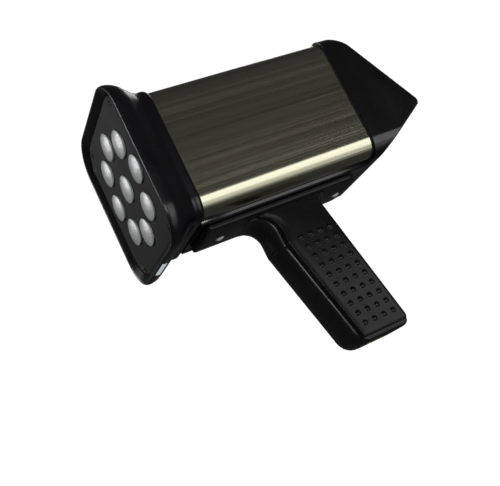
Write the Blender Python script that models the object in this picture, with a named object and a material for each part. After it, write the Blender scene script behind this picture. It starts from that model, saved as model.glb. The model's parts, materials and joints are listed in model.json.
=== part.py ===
"""Hand-held LED stroboscope (timing light) with a pistol grip.

Frame: +Z up, the beam leaves along -Y, +X is the tool's left flank. The origin is on the
tripod seat in the base of the grip. Shapes are laid out in the head's own coordinates, in
millimetres from the centre of the light field, and placed at HEAD in the part's frame.
"""

import math

import bmesh
import bpy
from mathutils import Matrix, Vector

MM = 0.001
HEAD = Vector((0.0, -134.5, 166.8))  # centre of the light field, from the tripod seat

# ---- driving dimensions, mm ----
SLEEVE_HALF_W = 47.0
SLEEVE_HALF_H = 48.0
SLEEVE_R = 12.5
SLEEVE_WALL = 2.0
SLEEVE_Y = (14.8, 168.0)
RIM_Y = -2.3
COLLAR_END = 27.8
PANEL_Y = (1.8, 4.3)
PANEL_OFF = 5.8
LED_RING_R = 34.0
LENS_R = 9.3
COVER_Y = 168.9
COVER_OFF = 1.5
COVER_WALL = 3.2
FACE_TILT = math.radians(60.5)   # control face, from horizontal
FACE_TOP = (182.0, 49.5)         # where the control face would meet the top, (y, z)
TIP = (224.0, -22.35)             # rear tip of the cover, (y, z)
RAIL_HALF_W = 30.0
RAIL_Z = (-48.3, -50.7)
FLANGE_HALF_W = 23.5
FLANGE_Z = (-51.0, -56.7)
FLANGE_Y = (33.2, 158.5)
GRIP_HALF_W = 15.5
PAD_OUT = 19.5
BASE_Z = -166.8
HANDLE_SCREWS = (48.0, 148.5)
COVER_SCREW_Y = 162.0
SEAT_Y = 118.8                   # tripod bush axis, head coordinates
LEAD_Y = 93.5                    # lead from the head down into the battery bay
TRIGGER_Z = (-82.0, -127.0)
TRIGGER_TRAVEL = 2.6
TRIGGER_PIN_Z = -122.0
BAY_Z = (-72.0, -153.8)
DOOR_Z = (-76.0, -154.0)
GAP = 0.3
N_CORNER = 5                     # segments in a quarter-round corner


# ---- scene ----
def clear():
    for o in list(bpy.data.objects):
        bpy.data.objects.remove(o, do_unlink=True)


def material(name, colour, rough, metal=0.0, alpha=1.0):
    m = bpy.data.materials.new(name)
    m.use_nodes = True
    b = m.node_tree.nodes["Principled BSDF"]
    b.inputs["Base Color"].default_value = (*colour, 1.0)
    b.inputs["Roughness"].default_value = rough
    b.inputs["Metallic"].default_value = metal
    b.inputs["Alpha"].default_value = alpha
    return m


def add(name, bm, mat, origin=(0.0, 0.0, 0.0), angle=30.0, guide=False):
    """bm is in head coordinates, mm. origin is the object's own origin in the same coordinates."""
    o3 = Vector(origin)
    bmesh.ops.remove_doubles(bm, verts=bm.verts, dist=1e-4)
    bmesh.ops.recalc_face_normals(bm, faces=bm.faces)
    for v in bm.verts:
        v.co = (v.co - o3) * MM
    me = bpy.data.meshes.new(name)
    bm.to_mesh(me)
    bm.free()
    me.shade_smooth()
    me.set_sharp_from_angle(angle=math.radians(angle))
    ob = bpy.data.objects.new(name, me)
    bpy.context.scene.collection.objects.link(ob)
    ob.location = (HEAD + o3) * MM
    if guide:
        ob.hide_render = True
        ob.display_type = "WIRE"
    else:
        me.materials.append(mat)
    return ob


def boolean(ob, other, op="DIFFERENCE"):
    m = ob.modifiers.new(op.lower() + "_" + other.name, "BOOLEAN")
    m.operation = op
    m.object = other
    m.solver = "EXACT"


# ---- shapes, mm ----
def rounded(hw, hh, r, n=N_CORNER):
    """A rounded rectangle about the beam axis, as (x, z) points."""
    pts = []
    for cx, cz, a0 in ((hw - r, hh - r, 0), (-hw + r, hh - r, 90), (-hw + r, -hh + r, 180), (hw - r, -hh + r, 270)):
        for k in range(n + 1):
            a = math.radians(a0 + 90.0 * k / n)
            pts.append((cx + r * math.cos(a), cz + r * math.sin(a)))
    return pts


def section(off, n=N_CORNER):
    """The head's cross-section grown by off all round."""
    return rounded(SLEEVE_HALF_W + off, SLEEVE_HALF_H + off, SLEEVE_R + off, n)


def at_y(pts, y):
    return [Vector((x, y, z)) for x, z in pts]


def loft(rings, closed=False, caps=True):
    bm = bmesh.new()
    rows = [[bm.verts.new(p) for p in ring] for ring in rings]
    n = len(rows[0])
    pairs = list(zip(rows, rows[1:]))
    if closed:
        pairs.append((rows[-1], rows[0]))
    for a, b in pairs:
        for i in range(n):
            j = (i + 1) % n
            bm.faces.new((a[i], a[j], b[j], b[i]))
    if caps and not closed:
        bm.faces.new(rows[0][::-1])
        bm.faces.new(rows[-1])
    return bm


def prism(pts, lo, hi, axis="X"):
    """Extrude a polygon. For X the points are (y, z); for Y (x, z); for Z (x, y)."""
    def to(p, t):
        if axis == "X":
            return Vector((t, p[0], p[1]))
        if axis == "Y":
            return Vector((p[0], t, p[1]))
        return Vector((p[0], p[1], t))
    return loft([[to(p, lo) for p in pts], [to(p, hi) for p in pts]])


def box(x0, x1, y0, y1, z0, z1):
    return prism([(x0, y0), (x1, y0), (x1, y1), (x0, y1)], z0, z1, "Z")


def turned(profile, n=16, centre=(0.0, 0.0, 0.0), direction=(0.0, -1.0, 0.0)):
    """Turn (radius, height) points about an axis. Radius 0 closes an end; otherwise ends are capped."""
    d = Vector(direction).normalized()
    u = d.orthogonal().normalized()
    w = d.cross(u)
    c = Vector(centre)
    bm = bmesh.new()
    rows = []
    for r, h in profile:
        if r < 1e-6:
            rows.append([bm.verts.new(c + d * h)])
        else:
            rows.append([bm.verts.new(c + d * h + (u * math.cos(t) + w * math.sin(t)) * r)
                         for t in (2 * math.pi * k / n for k in range(n))])
    for a, b in zip(rows, rows[1:]):
        for i in range(n):
            j = (i + 1) % n
            if len(a) == 1:
                bm.faces.new((a[0], b[j], b[i]))
            elif len(b) == 1:
                bm.faces.new((a[i], a[j], b[0]))
            else:
                bm.faces.new((a[i], a[j], b[j], b[i]))
    if len(rows[0]) > 1:
        bm.faces.new(rows[0][::-1])
    if len(rows[-1]) > 1:
        bm.faces.new(rows[-1])
    return bm


def ring_turned(profile, n=16, centre=(0.0, 0.0, 0.0), direction=(0.0, -1.0, 0.0)):
    """Turn a closed (radius, height) outline that stays off the axis."""
    d = Vector(direction).normalized()
    u = d.orthogonal().normalized()
    w = d.cross(u)
    c = Vector(centre)
    rings = [[c + d * h + (u * math.cos(t) + w * math.sin(t)) * r
              for t in (2 * math.pi * k / n for k in range(n))] for r, h in profile]
    return loft(rings, closed=True)


def cylinder(centre, direction, r, h0, h1, n=16):
    return turned([(r, h0), (r, h1)], n, centre, direction)


def merged(*bms):
    """Several closed shapes in one mesh, for cutters."""
    out = bmesh.new()
    for b in bms:
        me = bpy.data.meshes.new("tmp")
        bmesh.ops.recalc_face_normals(b, faces=b.faces)
        b.to_mesh(me)
        b.free()
        out.from_mesh(me)
        bpy.data.meshes.remove(me)
    return out


def round_poly(pts, radii, n=4):
    """Round each corner of a closed polygon with its own radius."""
    out = []
    m = len(pts)
    for i in range(m):
        p = Vector(pts[i])
        r = radii[i]
        a = (Vector(pts[i - 1]) - p).normalized()
        b = (Vector(pts[(i + 1) % m]) - p).normalized()
        if r <= 0:
            out.append(tuple(p))
            continue
        half = a.angle(b) / 2
        t = r / math.tan(half)
        c = p + (a + b).normalized() * (r / math.sin(half))
        p0, p1 = p + a * t, p + b * t
        a0 = math.atan2(p0[1] - c[1], p0[0] - c[0])
        a1 = math.atan2(p1[1] - c[1], p1[0] - c[0])
        da = (a1 - a0 + math.pi) % (2 * math.pi) - math.pi
        for k in range(n + 1):
            t2 = a0 + da * k / n
            out.append((c[0] + r * math.cos(t2), c[1] + r * math.sin(t2)))
    return out


# ---- curves of the grip, head coordinates ----
def grip_front(z):
    if z > -71.0:
        return 63.2 + math.sqrt(max(0.0, 14.5 ** 2 - (z + 71.0) ** 2))
    if z > -81.0:
        return 77.7
    y = 77.8 + 0.2487 * (-81.0 - z)
    if z < -156.8:
        y += 10.0 - math.sqrt(max(0.0, 100.0 - (z + 156.8) ** 2))
    return y


def grip_rear(z):
    y = 129.6 + 0.2035 * (-81.0 - z)
    if z > -64.5:
        y += 7.5 - math.sqrt(max(0.0, 7.5 ** 2 - (z + 64.5) ** 2))
    if z < -160.8:
        y -= 6.0 - math.sqrt(max(0.0, 36.0 - (z + 160.8) ** 2))
    return y


def groove(z):
    """Front edge of the side panels."""
    if z > -71.0:
        return 69.6 + math.sqrt(max(0.0, 14.5 ** 2 - (z + 71.0) ** 2))
    return 77.8 + 0.2487 * max(0.0, -81.0 - z) + 6.3


def core_half_w(z):
    w = GRIP_HALF_W
    if z < -163.8:
        w -= 3.0 - math.sqrt(max(0.0, 9.0 - (z + 163.8) ** 2))
    return w


def core_ring(z, n=7, front=0.0, rear=0.0):
    """Cross-section of the grip's core: elliptic nose, flat sides, slightly crowned back."""
    w, yf, yr = core_half_w(z), grip_front(z) + front, grip_rear(z) - rear
    d = min(7.2, (yr - yf) * 0.4)
    pts = []
    for k in range(2 * n + 1):
        t = math.radians(-90.0 + 180.0 * k / (2 * n))
        pts.append((w * math.sin(t), yf + d * (1.0 - math.cos(t))))
    pts += [(w, yr - 1.2), (w * 0.6, yr - 0.4), (0.0, yr), (-w * 0.6, yr - 0.4), (-w, yr - 1.2)]
    return pts


def levels(z0, z1, step, extra=()):
    n = max(1, round(abs(z1 - z0) / step))
    zs = {z0 + (z1 - z0) * k / n for k in range(n + 1)} | {e for e in extra if min(z0, z1) < e < max(z0, z1)}
    return sorted(zs, reverse=True)


def crown(x):
    """Underside of the flange across its width."""
    return FLANGE_Z[1] + 2.0 * (x / 21.5) ** 2


def flange_ring(y, half, lift):
    pts = [(half - 0.8, FLANGE_Z[0]), (-half + 0.8, FLANGE_Z[0]), (-half, FLANGE_Z[0] - 0.8), (-half, -53.6)]
    m = 8
    for k in range(m + 1):
        x = (half - 0.9) * (2.0 * k / m - 1.0)
        pts.append((x, crown(x) + lift))
    pts += [(half, -53.6), (half, FLANGE_Z[0] - 0.8)]
    return at_y(pts, y)


# ---- control face ----
FACE_Y = Vector((0.0, math.cos(FACE_TILT), -math.sin(FACE_TILT)))   # down the slope
FACE_N = Vector((0.0, math.sin(FACE_TILT), math.cos(FACE_TILT)))    # out of the face
FACE_O = Vector((0.0, FACE_TOP[0], FACE_TOP[1]))
UNDER_Y = Vector((0.0, -math.cos(math.radians(30)), -math.sin(math.radians(30))))  # down the lower face
UNDER_N = Vector((0.0, math.sin(math.radians(30)), -math.cos(math.radians(30))))
UNDER_O = Vector((0.0, TIP[0], TIP[1]))


def on_face(u, v, h=0.0):
    return FACE_O + Vector((u, 0, 0)) + FACE_Y * v + FACE_N * h


def on_under(u, v, h=0.0):
    return UNDER_O + Vector((u, 0, 0)) + UNDER_Y * v + UNDER_N * h


def plate_on(fn, pts, h0, h1):
    return loft([[fn(u, v, h0) for u, v in pts], [fn(u, v, h1) for u, v in pts]])


def rect(u0, u1, v0, v1, r=0.0, n=3):
    pts = [(u0, v0), (u1, v0), (u1, v1), (u0, v1)]
    return round_poly(pts, [r] * 4, n) if r else pts


def cover_profile(inset=0.0):
    """Side outline of the rear cover, (y, z), from its open front to the rear tip."""
    top = SLEEVE_HALF_H + COVER_OFF - inset
    bot = -50.0 + inset
    n, un = FACE_N, UNDER_N
    fo = FACE_O - n * inset
    uo = UNDER_O - un * inset
    yt = fo.y + (fo.z - top) / math.tan(FACE_TILT)
    # rear tip: meeting of the two planes
    a = Matrix(((n.y, n.z), (un.y, un.z)))
    tip = a.inverted() @ Vector((n.y * fo.y + n.z * fo.z, un.y * uo.y + un.z * uo.z))
    yb = uo.y - (uo.z - bot) / math.tan(math.radians(30))
    y0 = COVER_Y - (1.0 if inset else 0.0)
    return round_poly([(y0, bot), (yb, bot), (tip[0], tip[1]), (yt, top), (y0, top)],
                      [0, 5, max(1.5, 4 - inset), max(3.0, 10 - inset), 0])


def cover_shape(inset=0.0, n=N_CORNER):
    y0 = COVER_Y - (1.0 if inset else 0.0)
    off = COVER_OFF - inset
    tube = loft([at_y(rounded(SLEEVE_HALF_W + off, SLEEVE_HALF_H + off + 0.5, SLEEVE_R + 0.6 * off, n), y) for y in (y0, 240.0)])
    side = prism(cover_profile(inset), -60.0, 60.0, "X")
    return tube, side


def main():
    clear()
    black = material("moulded_black", (0.018, 0.018, 0.020), 0.42)
    gloss = material("bezel_gloss_black", (0.012, 0.012, 0.015), 0.25)
    satin = material("grip_satin_black", (0.020, 0.020, 0.021), 0.5)
    rubber = material("soft_rubber", (0.03, 0.03, 0.032), 0.75)
    alu = material("anodised_sleeve", (0.28, 0.26, 0.21), 0.32, 1.0)
    panel_m = material("panel_grey", (0.10, 0.095, 0.088), 0.6)
    lens_m = material("lens_frosted", (0.80, 0.83, 0.79), 0.25)
    fr4 = material("circuit_board", (0.03, 0.16, 0.07), 0.5)
    metal = material("steel_screw", (0.62, 0.62, 0.60), 0.3, 1.0)
    heat = material("heat_sink_aluminium", (0.55, 0.55, 0.56), 0.45, 1.0)
    brass = material("brass_bush", (0.72, 0.55, 0.25), 0.35, 1.0)
    lcd_m = material("display_glass", (0.05, 0.06, 0.055), 0.08)
    key_m = material("key_grey", (0.16, 0.16, 0.17), 0.6)
    cell_m = material("battery_wrap", (0.05, 0.07, 0.12), 0.5)

    # ---------- front of the head ----------
    outer = [(RIM_Y, 11.6), (RIM_Y + 0.9, 12.7), (0.6, 13.1), (5.0, 12.2), (9.0, 10.2), (15.0, 5.7),
             (20.0, 2.7), (22.0, 2.0), (24.5, 2.3), (26.6, 2.0), (COLLAR_END, 1.0)]
    inner = [(COLLAR_END, GAP), (13.0, GAP), (13.0, -2.0), (4.6, -2.0), (4.6, PANEL_OFF + GAP),
             (1.4, PANEL_OFF + 0.6), (-1.6, 10.2)]
    bezel = add("front_bezel", loft([at_y(section(o), y) for y, o in outer + inner], closed=True), gloss)

    lens_at = [(0.0, 0.0)] + [(LED_RING_R * math.sin(math.radians(45 * k)), LED_RING_R * math.cos(math.radians(45 * k)))
                              for k in range(8)]
    panel = add("led_panel", loft([at_y(section(PANEL_OFF), y) for y in PANEL_Y]), panel_m)
    holes = add("cut_led_holes", merged(*[cylinder((x, 0, z), (0, 1, 0), LENS_R + GAP, 0.5, 6.0, 20) for x, z in lens_at]),
                None, guide=True)
    boolean(panel, holes)
    corner = [(sx * 41.5, sz * 48.3) for sx in (1, -1) for sz in (1, -1)]
    heads = add("cut_panel_screws", merged(*[turned([(2.3, -4.8), (2.3, -2.9), (3.3, -1.9), (3.3, 0.0)], 12, (x, 0, z), (0, -1, 0))
                                             for x, z in corner]), None, guide=True)
    boolean(panel, heads)
    shank = add("cut_bezel_screws", merged(*[cylinder((x, 0, z), (0, 1, 0), 1.9, 4.0, 9.6, 12) for x, z in corner]), None, guide=True)
    boolean(bezel, shank)
    for k, (x, z) in enumerate(corner):
        add(f"panel_screw_{k + 1}", turned([(0, -9.0), (1.5, -9.0), (1.5, -3.3), (2.8, -2.0), (2.8, -1.6), (1.1, -1.5), (0.9, -2.1), (0, -2.1)],
                                           12, (x, 0, z), (0, -1, 0)), metal)
    for k, (x, z) in enumerate(lens_at):
        prof = [(0, 1.0), (4.5, 0.75), (8.0, 0.0), (LENS_R - 0.3, -0.75), (LENS_R, -1.3), (LENS_R, -5.0), (8.6, -6.5), (5.0, -12.4), (0, -12.4)]
        add(f"led_lens_{k + 1}", turned(prof, 16, (x, 0, z), (0, -1, 0)), lens_m, angle=40)

    board = add("led_board", loft([at_y(rounded(43.5, 44.5, 9.0), y) for y in (13.7, 15.3)]), fr4)
    chips = add("join_led_chips", merged(*[box(x - 2.2, x + 2.2, 12.9, 14.2, z - 2.2, z + 2.2) for x, z in lens_at]), None, guide=True)
    boolean(board, chips, "UNION")
    comb = [(-42.0, 15.6), (42.0, 15.6)]
    for k in range(9):
        x1 = 42.0 - k * 10.125
        comb += [(x1, 44.0), (x1 - 3.0, 44.0)]
        if k < 8:
            comb += [(x1 - 3.0, 21.0), (x1 - 10.125, 21.0)]
    add("heat_sink", prism(comb, -34.0, 34.0, "Z"), heat)
    add("front_seal", loft([at_y(section(o), y) for y, o in ((13.3, -0.1), (14.5, -0.1), (14.5, -1.8), (13.3, -1.8))], closed=True), rubber)

    # ---------- sleeve and rail ----------
    y0, y1 = SLEEVE_Y
    sleeve = add("sleeve", loft([at_y(section(o), y) for y, o in
                                 ((y0, -0.1), (y0 + 0.4, 0.0), (y1, 0.0), (y1, -SLEEVE_WALL), (y0, -SLEEVE_WALL))], closed=True), alu)
    rail_pts = round_poly([(-RAIL_HALF_W, RAIL_Z[0]), (RAIL_HALF_W, RAIL_Z[0]), (RAIL_HALF_W - 0.6, RAIL_Z[1]), (-RAIL_HALF_W + 0.6, RAIL_Z[1])],
                          [0, 0, 1.0, 1.0], 3)
    rail = add("under_rail", prism(rail_pts, COLLAR_END + 0.4, 167.9, "Y"), black)
    lead = add("cut_lead_hole", cylinder((0, LEAD_Y, 0), (0, 0, 1), 5.0, -83.0, -44.0, 14), None, guide=True)
    boolean(sleeve, lead)
    boolean(rail, lead)
    boss = add("cut_rail_screws", merged(*[cylinder((0, y, 0), (0, 0, 1), 2.3, -56.0, -44.0, 12) for y in HANDLE_SCREWS]), None, guide=True)
    boolean(rail, boss)
    boolean(sleeve, boss)
    top_holes = add("cut_cover_screws", merged(*[cylinder((x, COVER_SCREW_Y, 0), (0, 0, 1), 1.8, 44.6, 50.0, 12) for x in (28.0, -28.0)]), None, guide=True)
    boolean(sleeve, top_holes)
    add("rear_seal", loft([at_y(section(o), y) for y, o in ((168.2, 0.6), (168.65, 0.6), (168.65, -1.8), (168.2, -1.8))], closed=True), rubber)

    # ---------- electronics in the sleeve ----------
    drv = add("driver_board", box(-43.6, 43.6, 52.0, 150.0, -24.0, -22.4), fr4)
    parts = [box(-30, -10, 60, 84, -22.6, -10), box(-6, 14, 60, 78, -22.6, -14), box(20, 36, 64, 92, -22.6, -16),
             box(-34, -18, 96, 122, -22.6, -13), box(-8, 10, 104, 122, -22.6, -19), box(18, 34, 112, 140, -22.6, -12)]
    comps = add("join_driver_parts", merged(*parts), None, guide=True)
    boolean(drv, comps, "UNION")
    add("storage_capacitor", turned([(0, 0), (9.0, 0), (9.0, 34.0), (8.2, 35.0), (0, 35.0)], 16, (-14.0, 118, -35), (1, 0, 0)), cell_m)
    hexagon = [(3.9 * math.cos(math.radians(60 * k)), 3.9 * math.sin(math.radians(60 * k))) for k in range(6)]
    nut_hole = add("cut_nut_threads", merged(*[cylinder((0, y, 0), (0, 0, 1), 2.3, -47.0, -40.0, 12) for y in HANDLE_SCREWS]), None, guide=True)
    for name, y in zip(("handle_nut_front", "handle_nut_rear"), HANDLE_SCREWS):
        nut = add(name, prism([(px, y + py) for px, py in hexagon], -45.7, -42.6, "Z"), metal)
        boolean(nut, nut_hole)
    add("handle_lead", turned([(0, -80.0), (2.2, -80.0), (2.2, -24.4), (0, -24.4)], 10, (0, LEAD_Y, 0), (0, 0, 1)), rubber)

    # ---------- rear cover ----------
    tube, side = cover_shape(0.0)
    cover = add("rear_cover", tube, black)
    boolean(cover, add("trim_cover_outside", side, None, guide=True), "INTERSECT")
    tube_i, side_i = cover_shape(COVER_WALL)
    hollow = add("cut_cover_inside", tube_i, None, guide=True)
    boolean(hollow, add("trim_cover_inside", side_i, None, guide=True), "INTERSECT")
    boolean(cover, hollow)
    spigot = add("join_cover_spigot", loft([at_y(section(o), y) for y, o in ((156.0, -2.3), (168.9, -2.3), (168.9, -1.0), (174.0, -1.0), (174.0, -4.3), (156.0, -4.3))], closed=True), None, guide=True)
    boolean(cover, spigot, "UNION")
    boolean(cover, add("cut_spigot_screws", merged(*[cylinder((x, COVER_SCREW_Y, 0), (0, 0, 1), 1.5, 42.0, 46.4, 12) for x in (28.0, -28.0)]), None, guide=True))
    for k, x in enumerate((28.0, -28.0)):
        add(f"cover_screw_{k + 1}", turned([(0, 42.4), (1.2, 42.4), (1.2, 48.3), (2.8, 48.3), (2.8, 49.0), (2.0, 49.7), (1.1, 49.7), (0.9, 49.1), (0, 49.1)],
                                           12, (x, COVER_SCREW_Y, 0), (0, 0, 1)), metal)
    fascia = rect(-40.0, 40.0, 8.0, 72.0, 5.0)
    fascia_cut = rect(-40.0 - GAP, 40.0 + GAP, 8.0 - GAP, 72.0 + GAP, 5.0 + GAP)
    boolean(cover, add("cut_fascia_seat", plate_on(on_face, fascia_cut, -1.9, 3.0), None, guide=True))
    window = rect(-31.0, 31.0, 13.0, 39.0, 2.5)
    KEY_U, KEY_V = (3.0, 26.0), (48.0, 60.5)
    KEY_W, KEY_H = 17.0, 8.5
    KNOB_U, KNOB_V = -25.0, 54.5
    FASCIA_SCREWS = ((-36.4, 40.0), (36.4, 40.0))
    boolean(cover, add("cut_cover_windows", merged(
        plate_on(on_face, rect(-34.0, 34.0, 12.0, 40.0), -8.0, 2.0),
        plate_on(on_face, rect(-8.0, 36.6, 42.4, 66.2), -8.0, 2.0),
        cylinder(on_face(KNOB_U, KNOB_V, 0), FACE_N, 4.5, -8.0, 2.0, 16),
        *[cylinder(on_face(u, v), FACE_N, 1.5, -8.0, 2.0, 12) for u, v in FASCIA_SCREWS]), None, guide=True))
    fas = add("control_fascia", plate_on(on_face, fascia, -1.6, 0.4), panel_m)
    cuts = [plate_on(on_face, rect(-31.0 - GAP, 31.0 + GAP, 13.0 - GAP, 39.0 + GAP, 2.5), -4.0, 3.0),
            cylinder(on_face(KNOB_U, KNOB_V, 0), FACE_N, 5.0, -4.0, 3.0, 16)]
    for u in KEY_U:
        for v in KEY_V:
            cuts.append(plate_on(on_face, rect(u - KEY_W / 2 - GAP, u + KEY_W / 2 + GAP, v - KEY_H / 2 - GAP, v + KEY_H / 2 + GAP, 2.0), -4.0, 3.0))
    for u, v in FASCIA_SCREWS:
        cuts.append(turned([(1.5, -4.0), (1.5, -0.9), (2.7, 0.3), (2.7, 2.0)], 12, on_face(u, v), FACE_N))
    boolean(fas, add("cut_fascia", merged(*cuts), None, guide=True))
    for k, (u, v) in enumerate(FASCIA_SCREWS):
        add(f"fascia_screw_{k + 1}", turned([(0, -5.0), (1.2, -5.0), (1.2, -0.8), (2.2, 0.2), (2.2, 0.45), (0.9, 0.45), (0.7, -0.1), (0, -0.1)],
                                            12, on_face(u, v), FACE_N), metal)
    add("display_window", plate_on(on_face, window, -1.2, 0.6), lcd_m)
    lcd = add("display_module", plate_on(on_face, rect(-33.0, 33.0, 13.0, 39.6), -6.4, -2.2), cell_m)
    keyboard = add("key_board", plate_on(on_face, rect(-7.4, 36.0, 43.0, 65.6), -6.4, -5.0), fr4)
    domes = [cylinder(on_face(u, v), FACE_N, 2.6, -5.4, -4.2, 10) for u in KEY_U for v in KEY_V]
    boolean(keyboard, add("join_key_switches", merged(*domes), None, guide=True), "UNION")
    names = ("key_faster", "key_slower", "key_mode", "key_power")
    k = 0
    for u in KEY_U:
        for v in KEY_V:
            rings = []
            for s, h in ((-0.8, -3.0), (-0.8, -2.2), (0.0, -2.2), (0.0, 1.3), (0.5, 1.8)):
                rings.append([on_face(a, b, h) for a, b in rect(u - KEY_W / 2 + s, u + KEY_W / 2 - s, v - KEY_H / 2 + s, v + KEY_H / 2 - s, 1.6)])
            add(names[k], loft(rings), key_m, origin=on_face(u, v, 0))
            k += 1
    knob_prof = [(0, -2.4), (3.0, -2.4), (3.0, 1.0), (11.2, 1.0), (11.8, 1.8), (11.2, 12.0), (10.2, 13.2), (0, 12.8)]
    add("rate_knob", turned(knob_prof, 20, on_face(KNOB_U, KNOB_V), FACE_N), rubber, origin=on_face(KNOB_U, KNOB_V, 1.0))
    add("rotary_encoder", turned([(0, -9.6), (6.2, -9.6), (6.2, -3.5), (4.2, -3.5), (4.2, 0.6), (3.3, 0.6), (3.3, -2.7), (0, -2.7)],
                                 14, on_face(KNOB_U, KNOB_V), FACE_N), metal)

    # sockets on the lower rear face
    SOCKETS = (("sync_socket", -14.0), ("charge_socket", 14.0))
    SOCK_V = 27.0
    boolean(cover, add("cut_sockets", merged(*[cylinder(on_under(u, SOCK_V), UNDER_N, 4.4, -6.0, 2.0, 14) for _, u in SOCKETS]), None, guide=True))
    for name, u in SOCKETS:
        add(name, ring_turned([(2.0, -10.0), (4.1, -10.0), (4.1, 0.3), (6.2, 0.3), (6.2, 0.8), (5.6, 1.3), (2.0, 1.3)], 14, on_under(u, SOCK_V), UNDER_N), metal)

    # ---------- handle ----------
    ends = ((0.0, 4.0, 1.0), (0.6, 2.3, 0.3), (1.8, 0.9, 0.0), (4.0, 0.0, 0.0))
    rings = [flange_ring(FLANGE_Y[0] + d, FLANGE_HALF_W - s, lift) for d, s, lift in ends]
    rings += [flange_ring(FLANGE_Y[1] - 1.6 * d, FLANGE_HALF_W - 1.5 * s, lift) for d, s, lift in ends[::-1]]
    frame = add("handle_frame", loft(rings), satin)
    zs = [-54.0, -56.6, -57.4, -58.8, -61.0, -64.5, -68.0, -71.0, -81.0, -156.8, -160.0, -162.4, -164.2, -165.6, -166.4, BASE_Z]
    core = add("join_grip_core", loft([[Vector((x, y, z)) for x, y in core_ring(z)] for z in zs]), None, guide=True)
    boolean(frame, core, "UNION")
    PIN_Y = grip_front(TRIGGER_PIN_Z) + 10.3
    DOOR_AXIS = (grip_rear(DOOR_Z[1] + 1.6) - 2.4, DOOR_Z[1] + 1.6)
    # trigger bay
    tz0, tz1 = TRIGGER_Z
    bay = loft([[Vector((x, grip_front(z) + y, z)) for x, y in ((-16.5, -6.0), (16.5, -6.0), (16.5, 10.4), (9.0, 10.4),
                                                                 (9.0, 16.4), (-9.0, 16.4), (-9.0, 10.4), (-16.5, 10.4))]
                for z in (tz0 + GAP, tz1 - GAP)])
    # battery bay, open at the back
    by0, by1 = BAY_Z
    def bay_ring(z, w, y0off, y1off):
        return [Vector((x, y, z)) for x, y in ((-w, grip_front(z) + y0off), (w, grip_front(z) + y0off), (w, grip_rear(z) + y1off), (-w, grip_rear(z) + y1off))]
    batt = loft([bay_ring(z, 11.0, 18.0, -3.2) for z in (by0, -81.0, by1)])
    dz0, dz1 = DOOR_Z
    doorway = loft([bay_ring(dz0 + GAP, 11.0, 22.0, 6.0), bay_ring(BAY_Z[1], 11.0, 22.0, 6.0)])
    doorseat = loft([bay_ring(z, 12.6 + GAP, 0, 6.0) for z in (dz0 + GAP, dz1 + 4.0)])
    bm = doorseat
    for v in bm.verts:
        if v.co.y < grip_rear(v.co.z):
            v.co.y = grip_rear(v.co.z) - 2.9
    hinge_room = loft([[Vector((x, grip_rear(z) + y, z)) for x, y in ((-12.9, -5.0), (12.9, -5.0), (12.9, 6.0), (-12.9, 6.0))] for z in (dz1 + 5.0, dz1 - 0.9)])
    boolean(frame, add("cut_trigger_bay", bay, None, guide=True))
    boolean(frame, add("cut_battery_bay", batt, None, guide=True))
    boolean(frame, add("cut_doorway", doorway, None, guide=True))
    boolean(frame, add("cut_door_seat", doorseat, None, guide=True))
    boolean(frame, add("cut_hinge_room", hinge_room, None, guide=True))
    boolean(frame, add("cut_door_pin", cylinder((0, DOOR_AXIS[0], DOOR_AXIS[1]), (1, 0, 0), 0.9, -14.6, 14.6, 10), None, guide=True))
    boolean(frame, add("cut_trigger_pin", cylinder((0, PIN_Y, TRIGGER_PIN_Z), (1, 0, 0), 1.4, -13.6, 13.6, 12), None, guide=True))
    boolean(frame, lead)
    screws_y = HANDLE_SCREWS
    boolean(frame, add("cut_flange_screws", merged(*[turned([(4.4, -60.0), (4.4, -54.2), (2.3, -54.2), (2.3, -50.0)], 14, (0, y, 0), (0, 0, 1)) for y in screws_y]), None, guide=True))
    for k, y in enumerate(screws_y):
        add(("handle_screw_front", "handle_screw_rear")[k],
            turned([(0, -41.2), (2.0, -41.2), (2.0, -54.5), (4.0, -54.5), (4.0, -56.0), (3.4, -56.5), (1.4, -56.5), (1.1, -55.6), (0, -55.6)], 14, (0, y, 0), (0, 0, 1)), metal)

    # side panels
    def pad_ring(z, sx, n=4):
        out = PAD_OUT
        if z > -64.0:
            t = min(1.0, (z + 64.0) / 7.0)
            out += 2.4 * t * t
        if z < -159.2:
            t = min(1.0, (-159.2 - z) / 3.6)
            out -= 3.5 * (1.0 - math.sqrt(max(0.0, 1.0 - t * t)))
        inn = GRIP_HALF_W + GAP
        yf, yr = groove(z), 129.6 + 0.2035 * (-81.0 - z) - 0.9
        if z > -64.5:
            yr += 7.5 - math.sqrt(max(0.0, 7.5 ** 2 - (z + 64.5) ** 2))
        if z < -159.2:
            t = min(1.0, (-159.2 - z) / 3.6)
            yr -= 2.5 * (1.0 - math.sqrt(max(0.0, 1.0 - t * t)))
        a, b = out - inn, min(7.0, (yr - yf) / 3)
        pts = [(inn, yf)]
        for k in range(n + 1):
            t = math.radians(90.0 * k / n)
            pts.append((inn + 0.4 + (a - 0.4) * math.sin(t), yf + 3.4 * (1 - math.cos(t))))
        for k in range(n + 1):
            t = math.radians(90.0 * k / n)
            pts.append((inn + 0.4 + (a - 0.4) * math.cos(t), yr - b * (1 - math.sin(t))))
        pts.append((inn, yr))
        return [Vector((sx * x, y, z if z < -57.5 else crown(x) - GAP)) for x, y in pts]
    pad_z = [-57.0, -58.2, -60.0, -62.5, -65.5, -68.5, -71.0, -81.0, -159.2, -161.0, -162.2, -162.8]
    pads = {}
    for sx, side in ((1, "left"), (-1, "right")):
        pads[side] = add(f"{side}_grip_panel", loft([pad_ring(z, sx) for z in pad_z]), satin)

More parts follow.
